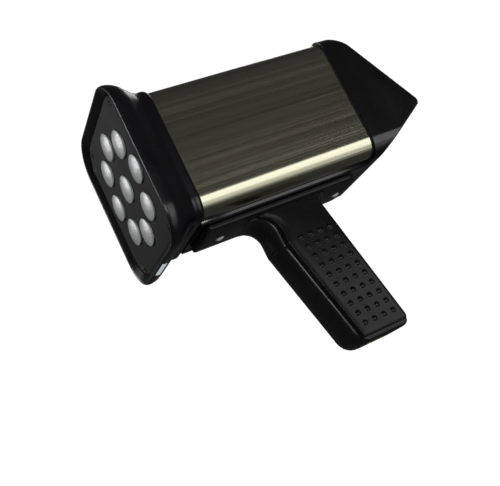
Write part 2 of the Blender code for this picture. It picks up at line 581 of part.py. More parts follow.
    # right panel screws into the core
    pscrew = [(118.0, -65.5), (grip_front(-140) + 12.5, -140.0)]
    cut = add("cut_panel_fixings", merged(*[turned([(1.9, 5.0), (1.9, 17.6), (3.6, 17.6), (3.6, 40.0)], 14, (0, y, z), (-1, 0, 0)) for y, z in pscrew]), None, guide=True)
    boolean(pads["right"], cut)
    cut2 = add("cut_core_fixings", merged(*[cylinder((0, y, z), (-1, 0, 0), 1.9, 5.0, 40.0, 12) for y, z in pscrew]), None, guide=True)
    boolean(frame, cut2)
    for k, (y, z) in enumerate(pscrew):
        add(f"grip_screw_{k + 1}", turned([(0, 6.0), (1.5, 6.0), (1.5, 17.9), (3.2, 17.9), (3.2, 18.8), (2.7, 19.2), (1.2, 19.2), (1.0, 18.4), (0, 18.4)],
                                          12, (0, y, z), (-1, 0, 0)), metal)

    # trigger, pivoted at its lower end
    def trig_ring(z, n=7):
        w, yf = 15.2, grip_front(z)
        pts = []
        for k in range(2 * n + 1):
            t = math.radians(-90.0 + 180.0 * k / (2 * n))
            pts.append((w * math.sin(t), yf + 6.8 * (1.0 - math.cos(t))))
        return [Vector((x, y, z)) for x, y in pts]
    trig = add("trigger", loft([trig_ring(z) for z in (tz0, -96.0, -111.0, tz1)]), satin,
               origin=(0, grip_front(-104.0) + 6.8, -104.0))
    heels = [loft([[Vector((x, grip_front(z) + y, z)) for x, y in ((-7.8, 5.4), (7.8, 5.4), (7.8, depth), (-7.8, depth))] for z in (za, zb)])
             for za, zb, depth in ((-83.4, -89.0, 9.4), (-117.4, -126.3, 12.9))]
    boolean(trig, add("join_trigger_heels", merged(*heels), None, guide=True), "UNION")
    slot = []
    for k in range(5):
        a = math.radians(90 + 180 * k / 4)
        slot.append((PIN_Y - TRIGGER_TRAVEL + 1.5 * math.cos(a), TRIGGER_PIN_Z + 1.5 * math.sin(a)))
    for k in range(5):
        a = math.radians(-90 + 180 * k / 4)
        slot.append((PIN_Y + 1.5 * math.cos(a), TRIGGER_PIN_Z + 1.5 * math.sin(a)))
    boolean(trig, add("cut_trigger_slot", prism(slot, -20.0, 20.0, "X"), None, guide=True))
    add("trigger_pin", cylinder((0, PIN_Y, TRIGGER_PIN_Z), (1, 0, 0), 1.1, -13.2, 13.2, 12), metal)
    switch = add("trigger_switch", loft([[Vector((x, grip_front(z) + y, z)) for x, y in ((-5.0, 11.6), (5.0, 11.6), (5.0, 16.0), (-5.0, 16.0))]
                                         for z in (-94.0, -106.0)]), black)
    boolean(switch, add("join_switch_button", cylinder((0, grip_front(-100.0), -100.0), (0, 1, 0), 1.2, 10.0, 12.4, 8), None, guide=True), "UNION")

    # trigger return spring between the trigger's back and the bay wall
    turns, wire, rad = 4.5, 0.45, 2.6
    sp_z = -112.0
    sp_y0, sp_y1 = grip_front(sp_z) + 7.8, grip_front(sp_z) + 15.6
    bm = bmesh.new()
    rows = []
    steps = int(turns * 10)
    for i in range(steps + 1):
        a = 2 * math.pi * turns * i / steps
        y = sp_y0 + wire + (sp_y1 - sp_y0 - 2 * wire) * i / steps
        ca, sa = math.cos(a), math.sin(a)
        centre = Vector((rad * ca, y, sp_z + rad * sa))
        radial = Vector((ca, 0, sa))
        rows.append([bm.verts.new(centre + radial * (wire * math.cos(q)) + Vector((0, wire * math.sin(q), 0)))
                     for q in (2 * math.pi * j / 6 for j in range(6))])
    for a, b in zip(rows, rows[1:]):
        for j in range(6):
            bm.faces.new((a[j], a[(j + 1) % 6], b[(j + 1) % 6], b[j]))
    bm.faces.new(rows[0][::-1])
    bm.faces.new(rows[-1])
    add("trigger_spring", bm, metal)

    # battery door, hinged at its lower end, with a sliding catch at the top
    def door_ring(z, rear=0.0):
        y = grip_rear(z) - rear
        return [Vector((px, py, z)) for px, py in ((-12.6, y - 2.6), (12.6, y - 2.6), (12.6, y - 0.75), (7.0, y - 0.2), (0.0, y), (-7.0, y - 0.2), (-12.6, y - 0.75))]
    hinge = (0.0, DOOR_AXIS[0], DOOR_AXIS[1])
    door = add("battery_door", loft([door_ring(z) for z in (dz0, -100.0, -125.0, dz1 + 1.6)] + [door_ring(dz1 + 0.1, 0.9)]), satin, origin=hinge)
    boolean(door, add("join_door_knuckle", cylinder(hinge, (1, 0, 0), 2.0, -12.6, 12.6, 12), None, guide=True), "UNION")
    boolean(door, add("cut_door_bore", cylinder(hinge, (1, 0, 0), 0.9, -13.0, 13.0, 10), None, guide=True))
    add("door_pin", cylinder(hinge, (1, 0, 0), 0.6, -14.2, 14.2, 10), metal)

    def catch_block(x, za, zb, ya, yb):
        return loft([[Vector((px, grip_rear(z) + py, z)) for px, py in ((-x, ya), (x, ya), (x, yb), (-x, yb))] for z in (za, zb)])
    boolean(door, add("cut_catch_slot", catch_block(6.0 + GAP, -77.7, -87.3, -6.0, 4.0), None, guide=True))
    catch = add("door_catch", catch_block(6.0, -78.0, -84.0, -4.4, 0.5), rubber, origin=(0, grip_rear(-81.0) - 1.0, -81.0))
    boolean(catch, add("join_catch_plate", merged(catch_block(7.6, -78.3, -83.7, -4.9, -3.1)), None, guide=True), "UNION")
    boolean(catch, add("join_catch_tongue", merged(catch_block(4.0, -74.2, -79.0, -4.7, -3.6)), None, guide=True), "UNION")
    add("battery_pack", loft([bay_ring(-89.0, 10.6, 18.4, -4.0), bay_ring(-148.0, 10.6, 18.4, -4.0)]), cell_m)

    # tripod bush in the base
    boolean(frame, add("cut_bush", cylinder((0, SEAT_Y, 0), (0, 0, 1), 8.0 + GAP, BASE_Z - 1.0, BASE_Z + 8.5, 16), None, guide=True))
    add("tripod_bush", ring_turned([(3.2, BASE_Z), (7.6, BASE_Z), (8.0, BASE_Z + 0.4), (8.0, BASE_Z + 8.2), (3.2, BASE_Z + 8.2)],
                                   16, (0, SEAT_Y, 0), (0, 0, 1)), brass)


main()
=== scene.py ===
"""Looks of the hand-held LED stroboscope (timing light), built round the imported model."""

import json
import math

import bmesh
import bpy
from mathutils import Matrix, Vector

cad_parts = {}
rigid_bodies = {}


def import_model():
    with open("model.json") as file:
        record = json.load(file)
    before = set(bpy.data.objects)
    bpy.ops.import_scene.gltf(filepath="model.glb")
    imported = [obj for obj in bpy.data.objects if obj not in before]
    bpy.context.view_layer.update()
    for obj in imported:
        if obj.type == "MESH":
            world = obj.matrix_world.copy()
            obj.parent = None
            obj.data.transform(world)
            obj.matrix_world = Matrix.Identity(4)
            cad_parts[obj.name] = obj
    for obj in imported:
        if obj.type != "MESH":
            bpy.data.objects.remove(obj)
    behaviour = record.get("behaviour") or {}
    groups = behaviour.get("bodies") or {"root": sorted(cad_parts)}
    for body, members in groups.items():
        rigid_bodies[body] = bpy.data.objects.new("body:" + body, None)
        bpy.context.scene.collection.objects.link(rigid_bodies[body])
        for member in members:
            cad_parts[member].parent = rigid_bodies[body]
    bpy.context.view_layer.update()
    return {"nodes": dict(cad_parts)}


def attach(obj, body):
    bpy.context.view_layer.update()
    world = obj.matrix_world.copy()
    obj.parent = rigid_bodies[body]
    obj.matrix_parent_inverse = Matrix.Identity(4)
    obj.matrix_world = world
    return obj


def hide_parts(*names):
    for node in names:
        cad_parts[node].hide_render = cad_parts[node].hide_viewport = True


for _o in list(bpy.data.objects):
    bpy.data.objects.remove(_o, do_unlink=True)

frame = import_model()

MM = 0.001
HEAD = Vector((0.0, -134.5, 166.8))   # centre of the light field, mm in the row frame
HW, HH, HR = 47.0, 48.0, 12.5         # sleeve section
GAP = 0.3
RING_R = 34.0
FACE_TILT = math.radians(60.5)
FACE_O = Vector((0.0, 182.0, 49.5))
FACE_Y = Vector((0.0, math.cos(FACE_TILT), -math.sin(FACE_TILT)))
FACE_N = Vector((0.0, math.sin(FACE_TILT), math.cos(FACE_TILT)))
UNDER_O = Vector((0.0, 224.0, -22.35))
UNDER_Y = Vector((0.0, -math.cos(math.radians(30)), -math.sin(math.radians(30))))
UNDER_N = Vector((0.0, math.sin(math.radians(30)), -math.cos(math.radians(30))))
COVER_Y = 168.9
SCENE = bpy.context.scene


# ------------------------------------------------------------------ materials
class Tree:
    def __init__(self, name):
        self.m = bpy.data.materials.new(name)
        self.m.use_nodes = True
        self.t = self.m.node_tree
        self.b = self.t.nodes["Principled BSDF"]
        self.coord = self.t.nodes.new("ShaderNodeTexCoord").outputs["Object"]

    def new(self, kind, **props):
        n = self.t.nodes.new(kind)
        for k, v in props.items():
            setattr(n, k, v)
        return n

    def link(self, a, b):
        self.t.links.new(a, b)

    def mapped(self, scale):
        n = self.new("ShaderNodeMapping")
        n.inputs["Scale"].default_value = scale
        self.link(self.coord, n.inputs["Vector"])
        return n.outputs["Vector"]

    def noise(self, scale, detail=4.0, rough=0.55, stretch=None, distort=0.0):
        n = self.new("ShaderNodeTexNoise")
        n.inputs["Scale"].default_value = scale if stretch is None else 1.0
        n.inputs["Detail"].default_value = detail
        n.inputs["Roughness"].default_value = rough
        n.inputs["Distortion"].default_value = distort
        self.link(self.coord if stretch is None else self.mapped(stretch), n.inputs["Vector"])
        return n.outputs["Fac"]

    def cells(self, scale, feature="F1"):
        n = self.new("ShaderNodeTexVoronoi", feature=feature)
        n.inputs["Scale"].default_value = scale
        self.link(self.coord, n.inputs["Vector"])
        return n.outputs["Distance"]

    def spread(self, fac, lo, hi, f0=0.3, f1=0.7):
        n = self.new("ShaderNodeMapRange")
        n.inputs["From Min"].default_value = f0
        n.inputs["From Max"].default_value = f1
        n.inputs["To Min"].default_value = lo
        n.inputs["To Max"].default_value = hi
        self.link(fac, n.inputs["Value"])
        return n.outputs["Result"]

    def ramp(self, fac, stops):
        n = self.new("ShaderNodeValToRGB")
        e = n.color_ramp.elements
        while len(e) < len(stops):
            e.new(0.5)
        for el, (p, c) in zip(e, stops):
            el.position = p
            el.color = (*c, 1.0)
        self.link(fac, n.inputs["Fac"])
        return n.outputs["Color"]

    def mix(self, fac, a, b, blend="MIX"):
        n = self.new("ShaderNodeMix", data_type="RGBA", blend_type=blend)
        if hasattr(fac, "is_linked"):
            self.link(fac, n.inputs[0])
        else:
            n.inputs[0].default_value = fac
        for sock, v in ((n.inputs[6], a), (n.inputs[7], b)):
            if hasattr(v, "is_linked"):
                self.link(v, sock)
            else:
                sock.default_value = (*v, 1.0)
        return n.outputs[2]

    def bump(self, height, distance, strength=1.0, under=None):
        n = self.new("ShaderNodeBump")
        n.inputs["Distance"].default_value = distance
        n.inputs["Strength"].default_value = strength
        self.link(height, n.inputs["Height"])
        if under is not None:
            self.link(under, n.inputs["Normal"])
        return n.outputs["Normal"]

    def set(self, **vals):
        for k, v in vals.items():
            s = self.b.inputs[k.replace("_", " ")]
            if hasattr(v, "is_linked"):
                self.link(v, s)
            else:
                s.default_value = v
        return self


def moulded(name, base, rough, grain=2200.0, depth=0.00003, mottle=0.25, wear_and_edge_sheen=0.0, spec=0.5, coat=0.0, wave=0.0):
    """Moulded plastic: fine eroded texture, slow mottling, handling marks in the gloss, paler edges that are partly
    rubbed wear and partly a painted edge highlight.
    """
    t = Tree(name)
    fine = t.noise(grain, 3.0, 0.6)
    slow = t.noise(38.0, 5.0, 0.6)
    smear = t.noise(14.0, 6.0, 0.7, distort=0.8)
    dark = tuple(c * (1 - mottle) for c in base)
    pale = tuple(min(1.0, c * (1 + mottle)) for c in base)
    col = t.ramp(slow, [(0.3, dark), (0.7, pale)])
    if wear_and_edge_sheen:
        # paler convex edges from pointiness: partly rubbed wear, partly a painted highlight along the edges
        geo = t.new("ShaderNodeNewGeometry")
        edge = t.spread(geo.outputs["Pointiness"], 0.0, wear_and_edge_sheen, 0.53, 0.62)
        col = t.mix(edge, col, tuple(min(1.0, c * 2.6 + 0.02) for c in base))
    t.set(Base_Color=col, Metallic=0.0)
    t.set(Roughness=t.spread(smear, rough - 0.06, rough + 0.08))
    n = t.bump(fine, depth)
    if wave:
        n = t.bump(t.noise(60.0, 2.0, 0.4), wave, 1.0, n)
    t.link(n, t.b.inputs["Normal"])
    t.b.inputs["Specular IOR Level"].default_value = spec
    t.b.inputs["Coat Weight"].default_value = coat
    t.b.inputs["Coat Roughness"].default_value = 0.18
    return t.m


def brushed(name, base, rough, along=(900.0, 2.0, 900.0), depth=0.000012, metal=1.0, tint=0.22):
    t = Tree(name)
    f1 = t.noise(1.0, 3.0, 0.6, stretch=along)
    f2 = t.noise(1.0, 2.0, 0.5, stretch=tuple(a * 0.22 for a in along))
    f3 = t.noise(1.0, 2.0, 0.5, stretch=tuple(a * 2.7 for a in along))
    dark = tuple(c * (1 - tint) for c in base)
    pale = tuple(min(1.0, c * (1 + tint)) for c in base)
    c1 = t.ramp(f2, [(0.32, dark), (0.68, pale)])
    c2 = t.mix(t.spread(f1, 0.0, 0.5), c1, tuple(c * 0.8 for c in base))
    t.set(Base_Color=c2, Metallic=metal, Roughness=t.spread(f1, rough - 0.07, rough + 0.09))
    n = t.bump(f1, depth)
    n = t.bump(f3, depth * 0.6, 1.0, n)
    t.link(n, t.b.inputs["Normal"])
    return t.m


def turned_metal(name, base, rough, depth=0.000015):
    t = Tree(name)
    f = t.noise(700.0, 4.0, 0.6)
    g = t.noise(120.0, 4.0, 0.6)
    t.set(Base_Color=t.ramp(g, [(0.3, tuple(c * 0.82 for c in base)), (0.7, base)]), Metallic=1.0,
          Roughness=t.spread(f, rough - 0.08, rough + 0.12))
    t.link(t.bump(f, depth), t.b.inputs["Normal"])
    return t.m


BEZEL = moulded("bezel_plastic", (0.0040, 0.0040, 0.0053), 0.25, grain=2600.0, depth=0.000012, wear_and_edge_sheen=0.08, coat=0.0, wave=0.0)
COVER = moulded("cover_plastic", (0.0042, 0.0042, 0.0047), 0.19, grain=2400.0, depth=0.000012, wear_and_edge_sheen=0.1, spec=0.56)
SATIN = moulded("grip_plastic", (0.0098, 0.0098, 0.0101), 0.27, grain=1900.0, depth=0.00002, wear_and_edge_sheen=0.2, spec=0.24)
PAD = moulded("grip_panel_plastic", (0.0060, 0.0060, 0.0063), 0.19, grain=1500.0, depth=0.000012, wear_and_edge_sheen=0.2, spec=0.22)
RUBBER = moulded("soft_rubber", (0.014, 0.014, 0.0145), 0.66, grain=1300.0, depth=0.00005, wear_and_edge_sheen=0.2, spec=0.35)
PANEL = moulded("panel_plastic", (0.0265, 0.0252, 0.0235), 0.6, grain=1700.0, depth=0.00003, mottle=0.12, spec=0.1)
FASCIA = moulded("fascia_graphite", (0.030, 0.031, 0.034), 0.5, grain=2000.0, depth=0.00003, mottle=0.1)
KEY = moulded("key_silicone", (0.11, 0.112, 0.118), 0.6, grain=1500.0, depth=0.00003, mottle=0.12, spec=0.4)
KEY_RED = moulded("key_silicone_red", (0.30, 0.022, 0.016), 0.58, grain=1500.0, depth=0.00003, mottle=0.12, spec=0.4)
MARK = moulded("printed_mark", (0.62, 0.62, 0.60), 0.6, grain=1200.0, depth=0.00001, mottle=0.06)
ALU = brushed("anodised_aluminium", (0.535, 0.52, 0.385), 0.18, depth=0.000008, tint=0.19)
STEEL = turned_metal("zinc_plated_steel", (0.88, 0.88, 0.86), 0.42)
BRIGHT_ZINC = turned_metal("bright_zinc", (0.92, 0.92, 0.90), 0.50)
BRIGHT_ZINC.node_tree.nodes["Principled BSDF"].inputs["Metallic"].default_value = 0.35
BLACK_STEEL = turned_metal("blackened_steel", (0.010, 0.010, 0.011), 0.45)
BRASS = turned_metal("turned_brass", (0.74, 0.54, 0.24), 0.30)
HEAT = brushed("extruded_aluminium", (0.56, 0.56, 0.57), 0.42, along=(700.0, 700.0, 6.0))


def lens_material():
    """Frosted collimator: fine micro-lens pattern, faint greenish grey, with painted light and shade: paler in the
    centre, darker towards the rim.
    """
    t = Tree("frosted_lens")
    n = t.new("ShaderNodeVectorMath", operation="LENGTH")
    t.link(t.coord, n.inputs[0])
    radius = n.outputs["Value"]
    # painted light and shade in the colour: paler in the middle, darker towards the rim where shade falls in the gap
    # round the lens
    col = t.ramp(t.spread(radius, 0.0, 1.0, 0.0, 0.0104),
                 [(0.0, (0.77, 0.80, 0.775)), (0.6, (0.74, 0.77, 0.745)), (0.93, (0.70, 0.73, 0.705)), (1.0, (0.56, 0.585, 0.565))])
    grit = t.cells(1500.0)
    facets = t.noise(780.0, 2.0, 0.6)
    t.set(Base_Color=t.mix(t.spread(facets, 0.0, 0.55, 0.35, 0.65), col, (0.52, 0.55, 0.53)), Roughness=t.spread(grit, 0.24, 0.36, 0.1, 0.8))
    bumps = t.bump(facets, 0.00028, 1.0, t.bump(grit, 0.00004, 0.6))
    t.link(bumps, t.b.inputs["Normal"])
    t.link(bumps, t.b.inputs["Coat Normal"])
    t.b.inputs["Coat Weight"].default_value = 1.0
    t.b.inputs["Coat Roughness"].default_value = 0.3
    t.b.inputs["Subsurface Weight"].default_value = 0.15
    t.b.inputs["Subsurface Radius"].default_value = (0.002, 0.002, 0.002)
    return t.m


def board_material():
    t = Tree("solder_mask")
    tracks = t.cells(260.0, "DISTANCE_TO_EDGE")
    fine = t.noise(900.0, 3.0)
    col = t.mix(t.spread(tracks, 1.0, 0.0, 0.02, 0.06), (0.010, 0.085, 0.035), (0.022, 0.15, 0.07))
    t.set(Base_Color=col, Roughness=t.spread(fine, 0.32, 0.5))
    t.link(t.bump(tracks, 0.00003, 0.5), t.b.inputs["Normal"])
    return t.m


def glass_material(name, base, rough=0.05):
    t = Tree(name)
    dust = t.noise(420.0, 6.0, 0.7)
    t.set(Base_Color=t.ramp(dust, [(0.35, base), (0.75, tuple(c * 1.5 for c in base))]),
          Roughness=t.spread(dust, rough, rough + 0.07, 0.4, 0.8))
    t.link(t.bump(t.noise(90.0, 2.0), 0.00001, 0.3), t.b.inputs["Normal"])
    t.b.inputs["Coat Weight"].default_value = 0.6
    t.b.inputs["Coat Roughness"].default_value = 0.03
    return t.m


LENS = lens_material()
BOARD = board_material()
GLASS = glass_material("display_glass", (0.010, 0.011, 0.012))
LCD = glass_material("liquid_crystal", (0.17, 0.20, 0.145), 0.12)
LCD_DARK = glass_material("liquid_crystal_segment", (0.022, 0.026, 0.022), 0.12)
WRAP = moulded("shrink_wrap", (0.018, 0.030, 0.075), 0.28, grain=500.0, depth=0.00006, mottle=0.2, wave=0.0003)
# painted reflection: a pale, faintly glowing finish that stands in for bright light reflected off the glossy underside
# of the bezel lip
GLINT_GLOW = glass_material("painted_reflection_glow", (0.60, 0.66, 0.72), 0.25)
_p = GLINT_GLOW.node_tree.nodes["Principled BSDF"]
_p.inputs["Emission Color"].default_value = (0.80, 0.90, 1.0, 1.0)
_p.inputs["Emission Strength"].default_value = 0.52


# ------------------------------------------------------------------ geometry, mm in head coordinates
def rounded(hw, hh, r, n=14):
    pts = []
    for cx, cz, a0 in ((hw - r, hh - r, 0), (-hw + r, hh - r, 90), (-hw + r, -hh + r, 180), (hw - r, -hh + r, 270)):
        for k in range(n + 1):
            a = math.radians(a0 + 90.0 * k / n)
            pts.append((cx + r * math.cos(a), cz + r * math.sin(a)))
    return pts


def section(off, n=14):
    return rounded(HW + off, HH + off, HR + off, n)


def at_y(pts, y):
    return [Vector((x, y, z)) for x, z in pts]


def loft(rings, closed=False, caps=True):
    bm = bmesh.new()
    rows = [[bm.verts.new(p) for p in ring] for ring in rings]
    n = len(rows[0])
    pairs = list(zip(rows, rows[1:]))
    if closed:
        pairs.append((rows[-1], rows[0]))
    for a, b in pairs:
        for i in range(n):
            j = (i + 1) % n
            bm.faces.new((a[i], a[j], b[j], b[i]))
    if caps and not closed:
        bm.faces.new(rows[0][::-1])
        bm.faces.new(rows[-1])
    return bm


def prism(pts, lo, hi, axis="X"):
    def to(p, t):
        if axis == "X":
            return Vector((t, p[0], p[1]))
        if axis == "Y":
            return Vector((p[0], t, p[1]))
        return Vector((p[0], p[1], t))
    return loft([[to(p, lo) for p in pts], [to(p, hi) for p in pts]])


def frame_of(direction):
    d = Vector(direction).normalized()
    u = d.orthogonal().normalized()
    return d, u, d.cross(u)


def turned(profile, n=48, centre=(0.0, 0.0, 0.0), direction=(0.0, -1.0, 0.0), mod=None):
    d, u, w = frame_of(direction)
    c = Vector(centre)
    bm = bmesh.new()
    rows = []
    for r, h in profile:
        if r < 1e-6:
            rows.append([bm.verts.new(c + d * h)])
        else:
            ring = []
            for k in range(n):
                t = 2 * math.pi * k / n
                rr = mod(r, h, t) if mod else r
                ring.append(bm.verts.new(c + d * h + (u * math.cos(t) + w * math.sin(t)) * rr))
            rows.append(ring)
    for a, b in zip(rows, rows[1:]):
        for i in range(n):
            j = (i + 1) % n
            if len(a) == 1:
                bm.faces.new((a[0], b[j], b[i]))
            elif len(b) == 1:
                bm.faces.new((a[i], a[j], b[0]))
            else:
                bm.faces.new((a[i], a[j], b[j], b[i]))
    if len(rows[0]) > 1:
        bm.faces.new(rows[0][::-1])
    if len(rows[-1]) > 1:
        bm.faces.new(rows[-1])
    return bm


def ring_turned(profile, n=48, centre=(0.0, 0.0, 0.0), direction=(0.0, -1.0, 0.0)):
    d, u, w = frame_of(direction)
    c = Vector(centre)
    rings = [[c + d * h + (u * math.cos(t) + w * math.sin(t)) * r
              for t in (2 * math.pi * k / n for k in range(n))] for r, h in profile]
    return loft(rings, closed=True)


def cylinder(centre, direction, r, h0, h1, n=32):
    return turned([(r, h0), (r, h1)], n, centre, direction)


def merged(*bms):
    out = bmesh.new()
    for b in bms:
        me = bpy.data.meshes.new("tmp")
        bmesh.ops.recalc_face_normals(b, faces=b.faces)
        b.to_mesh(me)
        b.free()
        out.from_mesh(me)
        bpy.data.meshes.remove(me)
    return out


def round_poly(pts, radii, n=8):
    out = []
    m = len(pts)
    for i in range(m):
        p = Vector(pts[i])
        r = radii[i]
        a = (Vector(pts[i - 1]) - p).normalized()
        b = (Vector(pts[(i + 1) % m]) - p).normalized()
        if r <= 0:
            out.append(tuple(p))
            continue
        half = a.angle(b) / 2
        t = r / math.tan(half)
        c = p + (a + b).normalized() * (r / math.sin(half))
        p0, p1 = p + a * t, p + b * t
        a0 = math.atan2(p0[1] - c[1], p0[0] - c[0])
        a1 = math.atan2(p1[1] - c[1], p1[0] - c[0])
        da = (a1 - a0 + math.pi) % (2 * math.pi) - math.pi
        for k in range(n + 1):
            t2 = a0 + da * k / n
            out.append((c[0] + r * math.cos(t2), c[1] + r * math.sin(t2)))
    return out


def spline(points, per=6):
    """Catmull-Rom through 2-D points."""
    out = []
    p = [points[0]] + list(points) + [points[-1]]
    for i in range(1, len(p) - 2):
        for k in range(per):
            t = k / per
            out.append(tuple(0.5 * ((2 * p[i][a]) + (-p[i - 1][a] + p[i + 1][a]) * t
                                    + (2 * p[i - 1][a] - 5 * p[i][a] + 4 * p[i + 1][a] - p[i + 2][a]) * t * t
                                    + (-p[i - 1][a] + 3 * p[i][a] - 3 * p[i + 1][a] + p[i + 2][a]) * t ** 3) for a in (0, 1)))
    out.append(tuple(points[-1]))
    return out


def on_face(u, v, h=0.0):
    return FACE_O + Vector((u, 0, 0)) + FACE_Y * v + FACE_N * h


def on_under(u, v, h=0.0):
    return UNDER_O + Vector((u, 0, 0)) + UNDER_Y * v + UNDER_N * h


def plate_on(fn, pts, h0, h1):
    return loft([[fn(u, v, h0) for u, v in pts], [fn(u, v, h1) for u, v in pts]])


def rect(u0, u1, v0, v1, r=0.0, n=8):
    pts = [(u0, v0), (u1, v0), (u1, v1), (u0, v1)]
    return round_poly(pts, [r] * 4, n) if r else pts


# ------------------------------------------------------------------ objects
def raw(name, bm, mat=None, origin=(0.0, 0.0, 0.0), clean=True):
    o3 = Vector(origin)
    if clean:
        bmesh.ops.remove_doubles(bm, verts=bm.verts, dist=1e-4)
        bmesh.ops.recalc_face_normals(bm, faces=bm.faces)
    for v in bm.verts:
        v.co = (v.co - o3) * MM
    me = bpy.data.meshes.new(name)
    bm.to_mesh(me)
    bm.free()
    ob = bpy.data.objects.new(name, me)
    SCENE.collection.objects.link(ob)
    ob.location = (HEAD + o3) * MM
    if mat:
        me.materials.append(mat)
    return ob


def bake(ob):
    bpy.context.view_layer.update()
    dg = bpy.context.evaluated_depsgraph_get()
    me = bpy.data.meshes.new_from_object(ob.evaluated_get(dg))
    old = ob.data
    ob.modifiers.clear()
    ob.data = me
    bpy.data.meshes.remove(old)
    return ob


def boolean(ob, bms, op="DIFFERENCE"):
    tools = []
    for bm in bms:
        c = raw("cutter", bm)
        if ob.data.materials:
            c.data.materials.append(ob.data.materials[0])
        m = ob.modifiers.new("b", "BOOLEAN")
        m.operation = op
        m.object = c
        m.solver = "EXACT"
        tools.append(c)
    bake(ob)
    for c in tools:
        bpy.data.objects.remove(c, do_unlink=True)
    return ob


def bevel(ob, width, segments=2, angle=40.0):
    m = ob.modifiers.new("bevel", "BEVEL")
    m.width = width * MM
    m.segments = segments
    m.limit_method = "ANGLE"
    m.angle_limit = math.radians(angle)
    m.use_clamp_overlap = False
    m.miter_outer = "MITER_ARC"
    bake(ob)
    return ob


def finish(ob, body, nodes=(), angle=38.0):
    ob.data.shade_smooth()
    ob.data.set_sharp_from_angle(angle=math.radians(angle))
    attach(ob, body)
    if nodes:
        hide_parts(*nodes)
    return ob


def cross_cutter(centre, direction, size, top, depth, turn=0.4):
    """Cross recess, tapering inwards."""
    d, u, w = frame_of(direction)
    c = Vector(centre)
    u, w = u * math.cos(turn) + w * math.sin(turn), w * math.cos(turn) - u * math.sin(turn)
    out = []
    a, t = size, size * 0.24
    for p, q in ((u, w), (w, u)):
        rings = []
        for h, s in ((top + 0.3, 1.04), (top - depth, 0.45)):
            rings.append([c + d * h + p * (x * a * s) + q * (y * t * (0.6 + 0.4 * s)) for x, y in ((-1, -1), (1, -1), (1, 1), (-1, 1))])
        out.append(loft(rings))
    return out


def screw(name, node, body, centre, direction, head_r, seat, top, shank_r, tail, mat=STEEL, style="pan"):
    """Cross-recessed machine screw; heights run along direction from centre."""
    h = top - seat
    if style == "pan":
        prof = [(0, tail), (shank_r * 0.7, tail), (shank_r, tail + 0.6), (shank_r, seat), (head_r - 0.15, seat), (head_r, seat + 0.15)]
        prof += [(head_r * math.cos(math.radians(10 * k)), seat + h * (0.24 + 0.76 * math.sin(math.radians(10 * k)))) for k in range(9)] + [(0, top)]
    else:
        prof = [(0, tail), (shank_r * 0.7, tail), (shank_r, tail + 0.6), (shank_r, seat - 0.2), (head_r * 0.96, top - 0.35), (head_r, top - 0.2),
                (head_r * 0.96, top - 0.05), (head_r * 0.7, top), (0, top)]
    ob = raw(name, turned(prof, 40, centre, direction), mat)
    boolean(ob, cross_cutter(centre, direction, head_r * 0.62, top, min(1.4, h * 0.75 + 0.5)))
    return finish(ob, body, (node,), 32.0)


# ------------------------------------------------------------------ front of the head
outer_pts = [(-2.3, 12.0), (-2.22, 12.45), (-1.9, 12.8), (-1.2, 12.98), (0.8, 13.1), (5.0, 12.2), (9.0, 10.2), (12.0, 7.9), (15.0, 5.6),
             (17.6, 3.7), (20.0, 2.55), (21.4, 2.15), (22.4, 2.15), (24.0, 2.35), (25.6, 2.3), (26.9, 1.85), (27.6, 1.3), (27.8, 0.9)]
inner_pts = [(27.8, 0.3), (13.0, 0.3), (13.0, -2.0), (4.6, -2.0), (4.6, 6.1), (1.9, 6.2), (1.2, 6.55), (-1.2, 10.0), (-1.8, 10.7), (-2.15, 11.25)]
bezel = raw("front_bezel_shell", loft([at_y(section(o, 18), y) for y, o in spline(outer_pts, 5) + inner_pts], closed=True), BEZEL)
finish(bezel, "tool", ("front_bezel",), 42.0)

for s in range(1, 10):
    k = s - 2
    x, z = (0.0, 0.0) if s == 1 else (RING_R * math.sin(math.radians(45 * k)), RING_R * math.cos(math.radians(45 * k)))
    prof = [(r, 1.15 - 1.55 * (r / 10.2) ** 2.2) for r in (0, 1.2, 2.4, 3.6, 4.8, 6.0, 7.0, 8.0, 8.8, 9.4, 9.8)]
    prof += [(10.05, -0.42), (10.15, -0.62), (10.1, -0.85), (9.7, -1.2), (9.3, -1.75), (9.2, -4.6), (0, -4.6)]
    lens = raw(f"collimator_lens_{s}", turned(prof, 56, (x, 0, z), (0, -1, 0)), LENS, origin=(x, 0, z))
    finish(lens, "tool", (f"led_lens_{s}",), 50.0)

for k, (x, z) in enumerate([(sx * 41.5, sz * 48.3) for sx in (1, -1) for sz in (1, -1)]):
    screw(f"panel_fixing_{k + 1}", f"panel_screw_{k + 1}", "tool", (x, 0, z), (0, -1, 0), 2.75, -3.1, -1.7, 1.5, -9.0, BLACK_STEEL, "csk")

# ------------------------------------------------------------------ sleeve, rail and seals
sl = [(14.8, -0.35), (14.95, -0.12), (15.2, 0.0), (15.32, 0.0)]
sl += [(15.2 + (167.6 - 15.2) * k / 24, 0.0) for k in range(1, 24)] + [(167.48, 0.0), (167.6, 0.0), (167.85, -0.12), (168.0, -0.35), (168.0, -2.0), (14.8, -2.0)]
sleeve = raw("brushed_sleeve", loft([at_y(section(o, 20), y) for y, o in sl], closed=True), ALU)
finish(sleeve, "tool", ("sleeve",), 40.0)

rail_pts = round_poly([(-30.0, -48.2), (30.0, -48.2), (29.4, -50.7), (24.6, -50.7), (24.3, -50.25), (-24.3, -50.25), (-24.6, -50.7), (-29.4, -50.7)],
                      [0.2, 0.2, 0.9, 0.25, 0.2, 0.2, 0.25, 0.9], 6)
rail = raw("under_rail_moulding", loft([[Vector((x * (1 - 0.006 * e), y, z)) for x, z in rail_pts] for y, e in
                                        ((28.2, 1), (28.5, 0), (60, 0), (95, 0), (130, 0), (167.6, 0), (167.9, 1))]), COVER)
finish(rail, "tool", ("under_rail",), 40.0)
seal = raw("rear_seal_ring", loft([at_y(section(o, 20), y) for y, o in ((168.2, 0.5), (168.3, 0.6), (168.55, 0.6), (168.65, 0.5), (168.65, -1.8), (168.2, -1.8))], closed=True), RUBBER)
finish(seal, "tool", ("rear_seal",), 40.0)


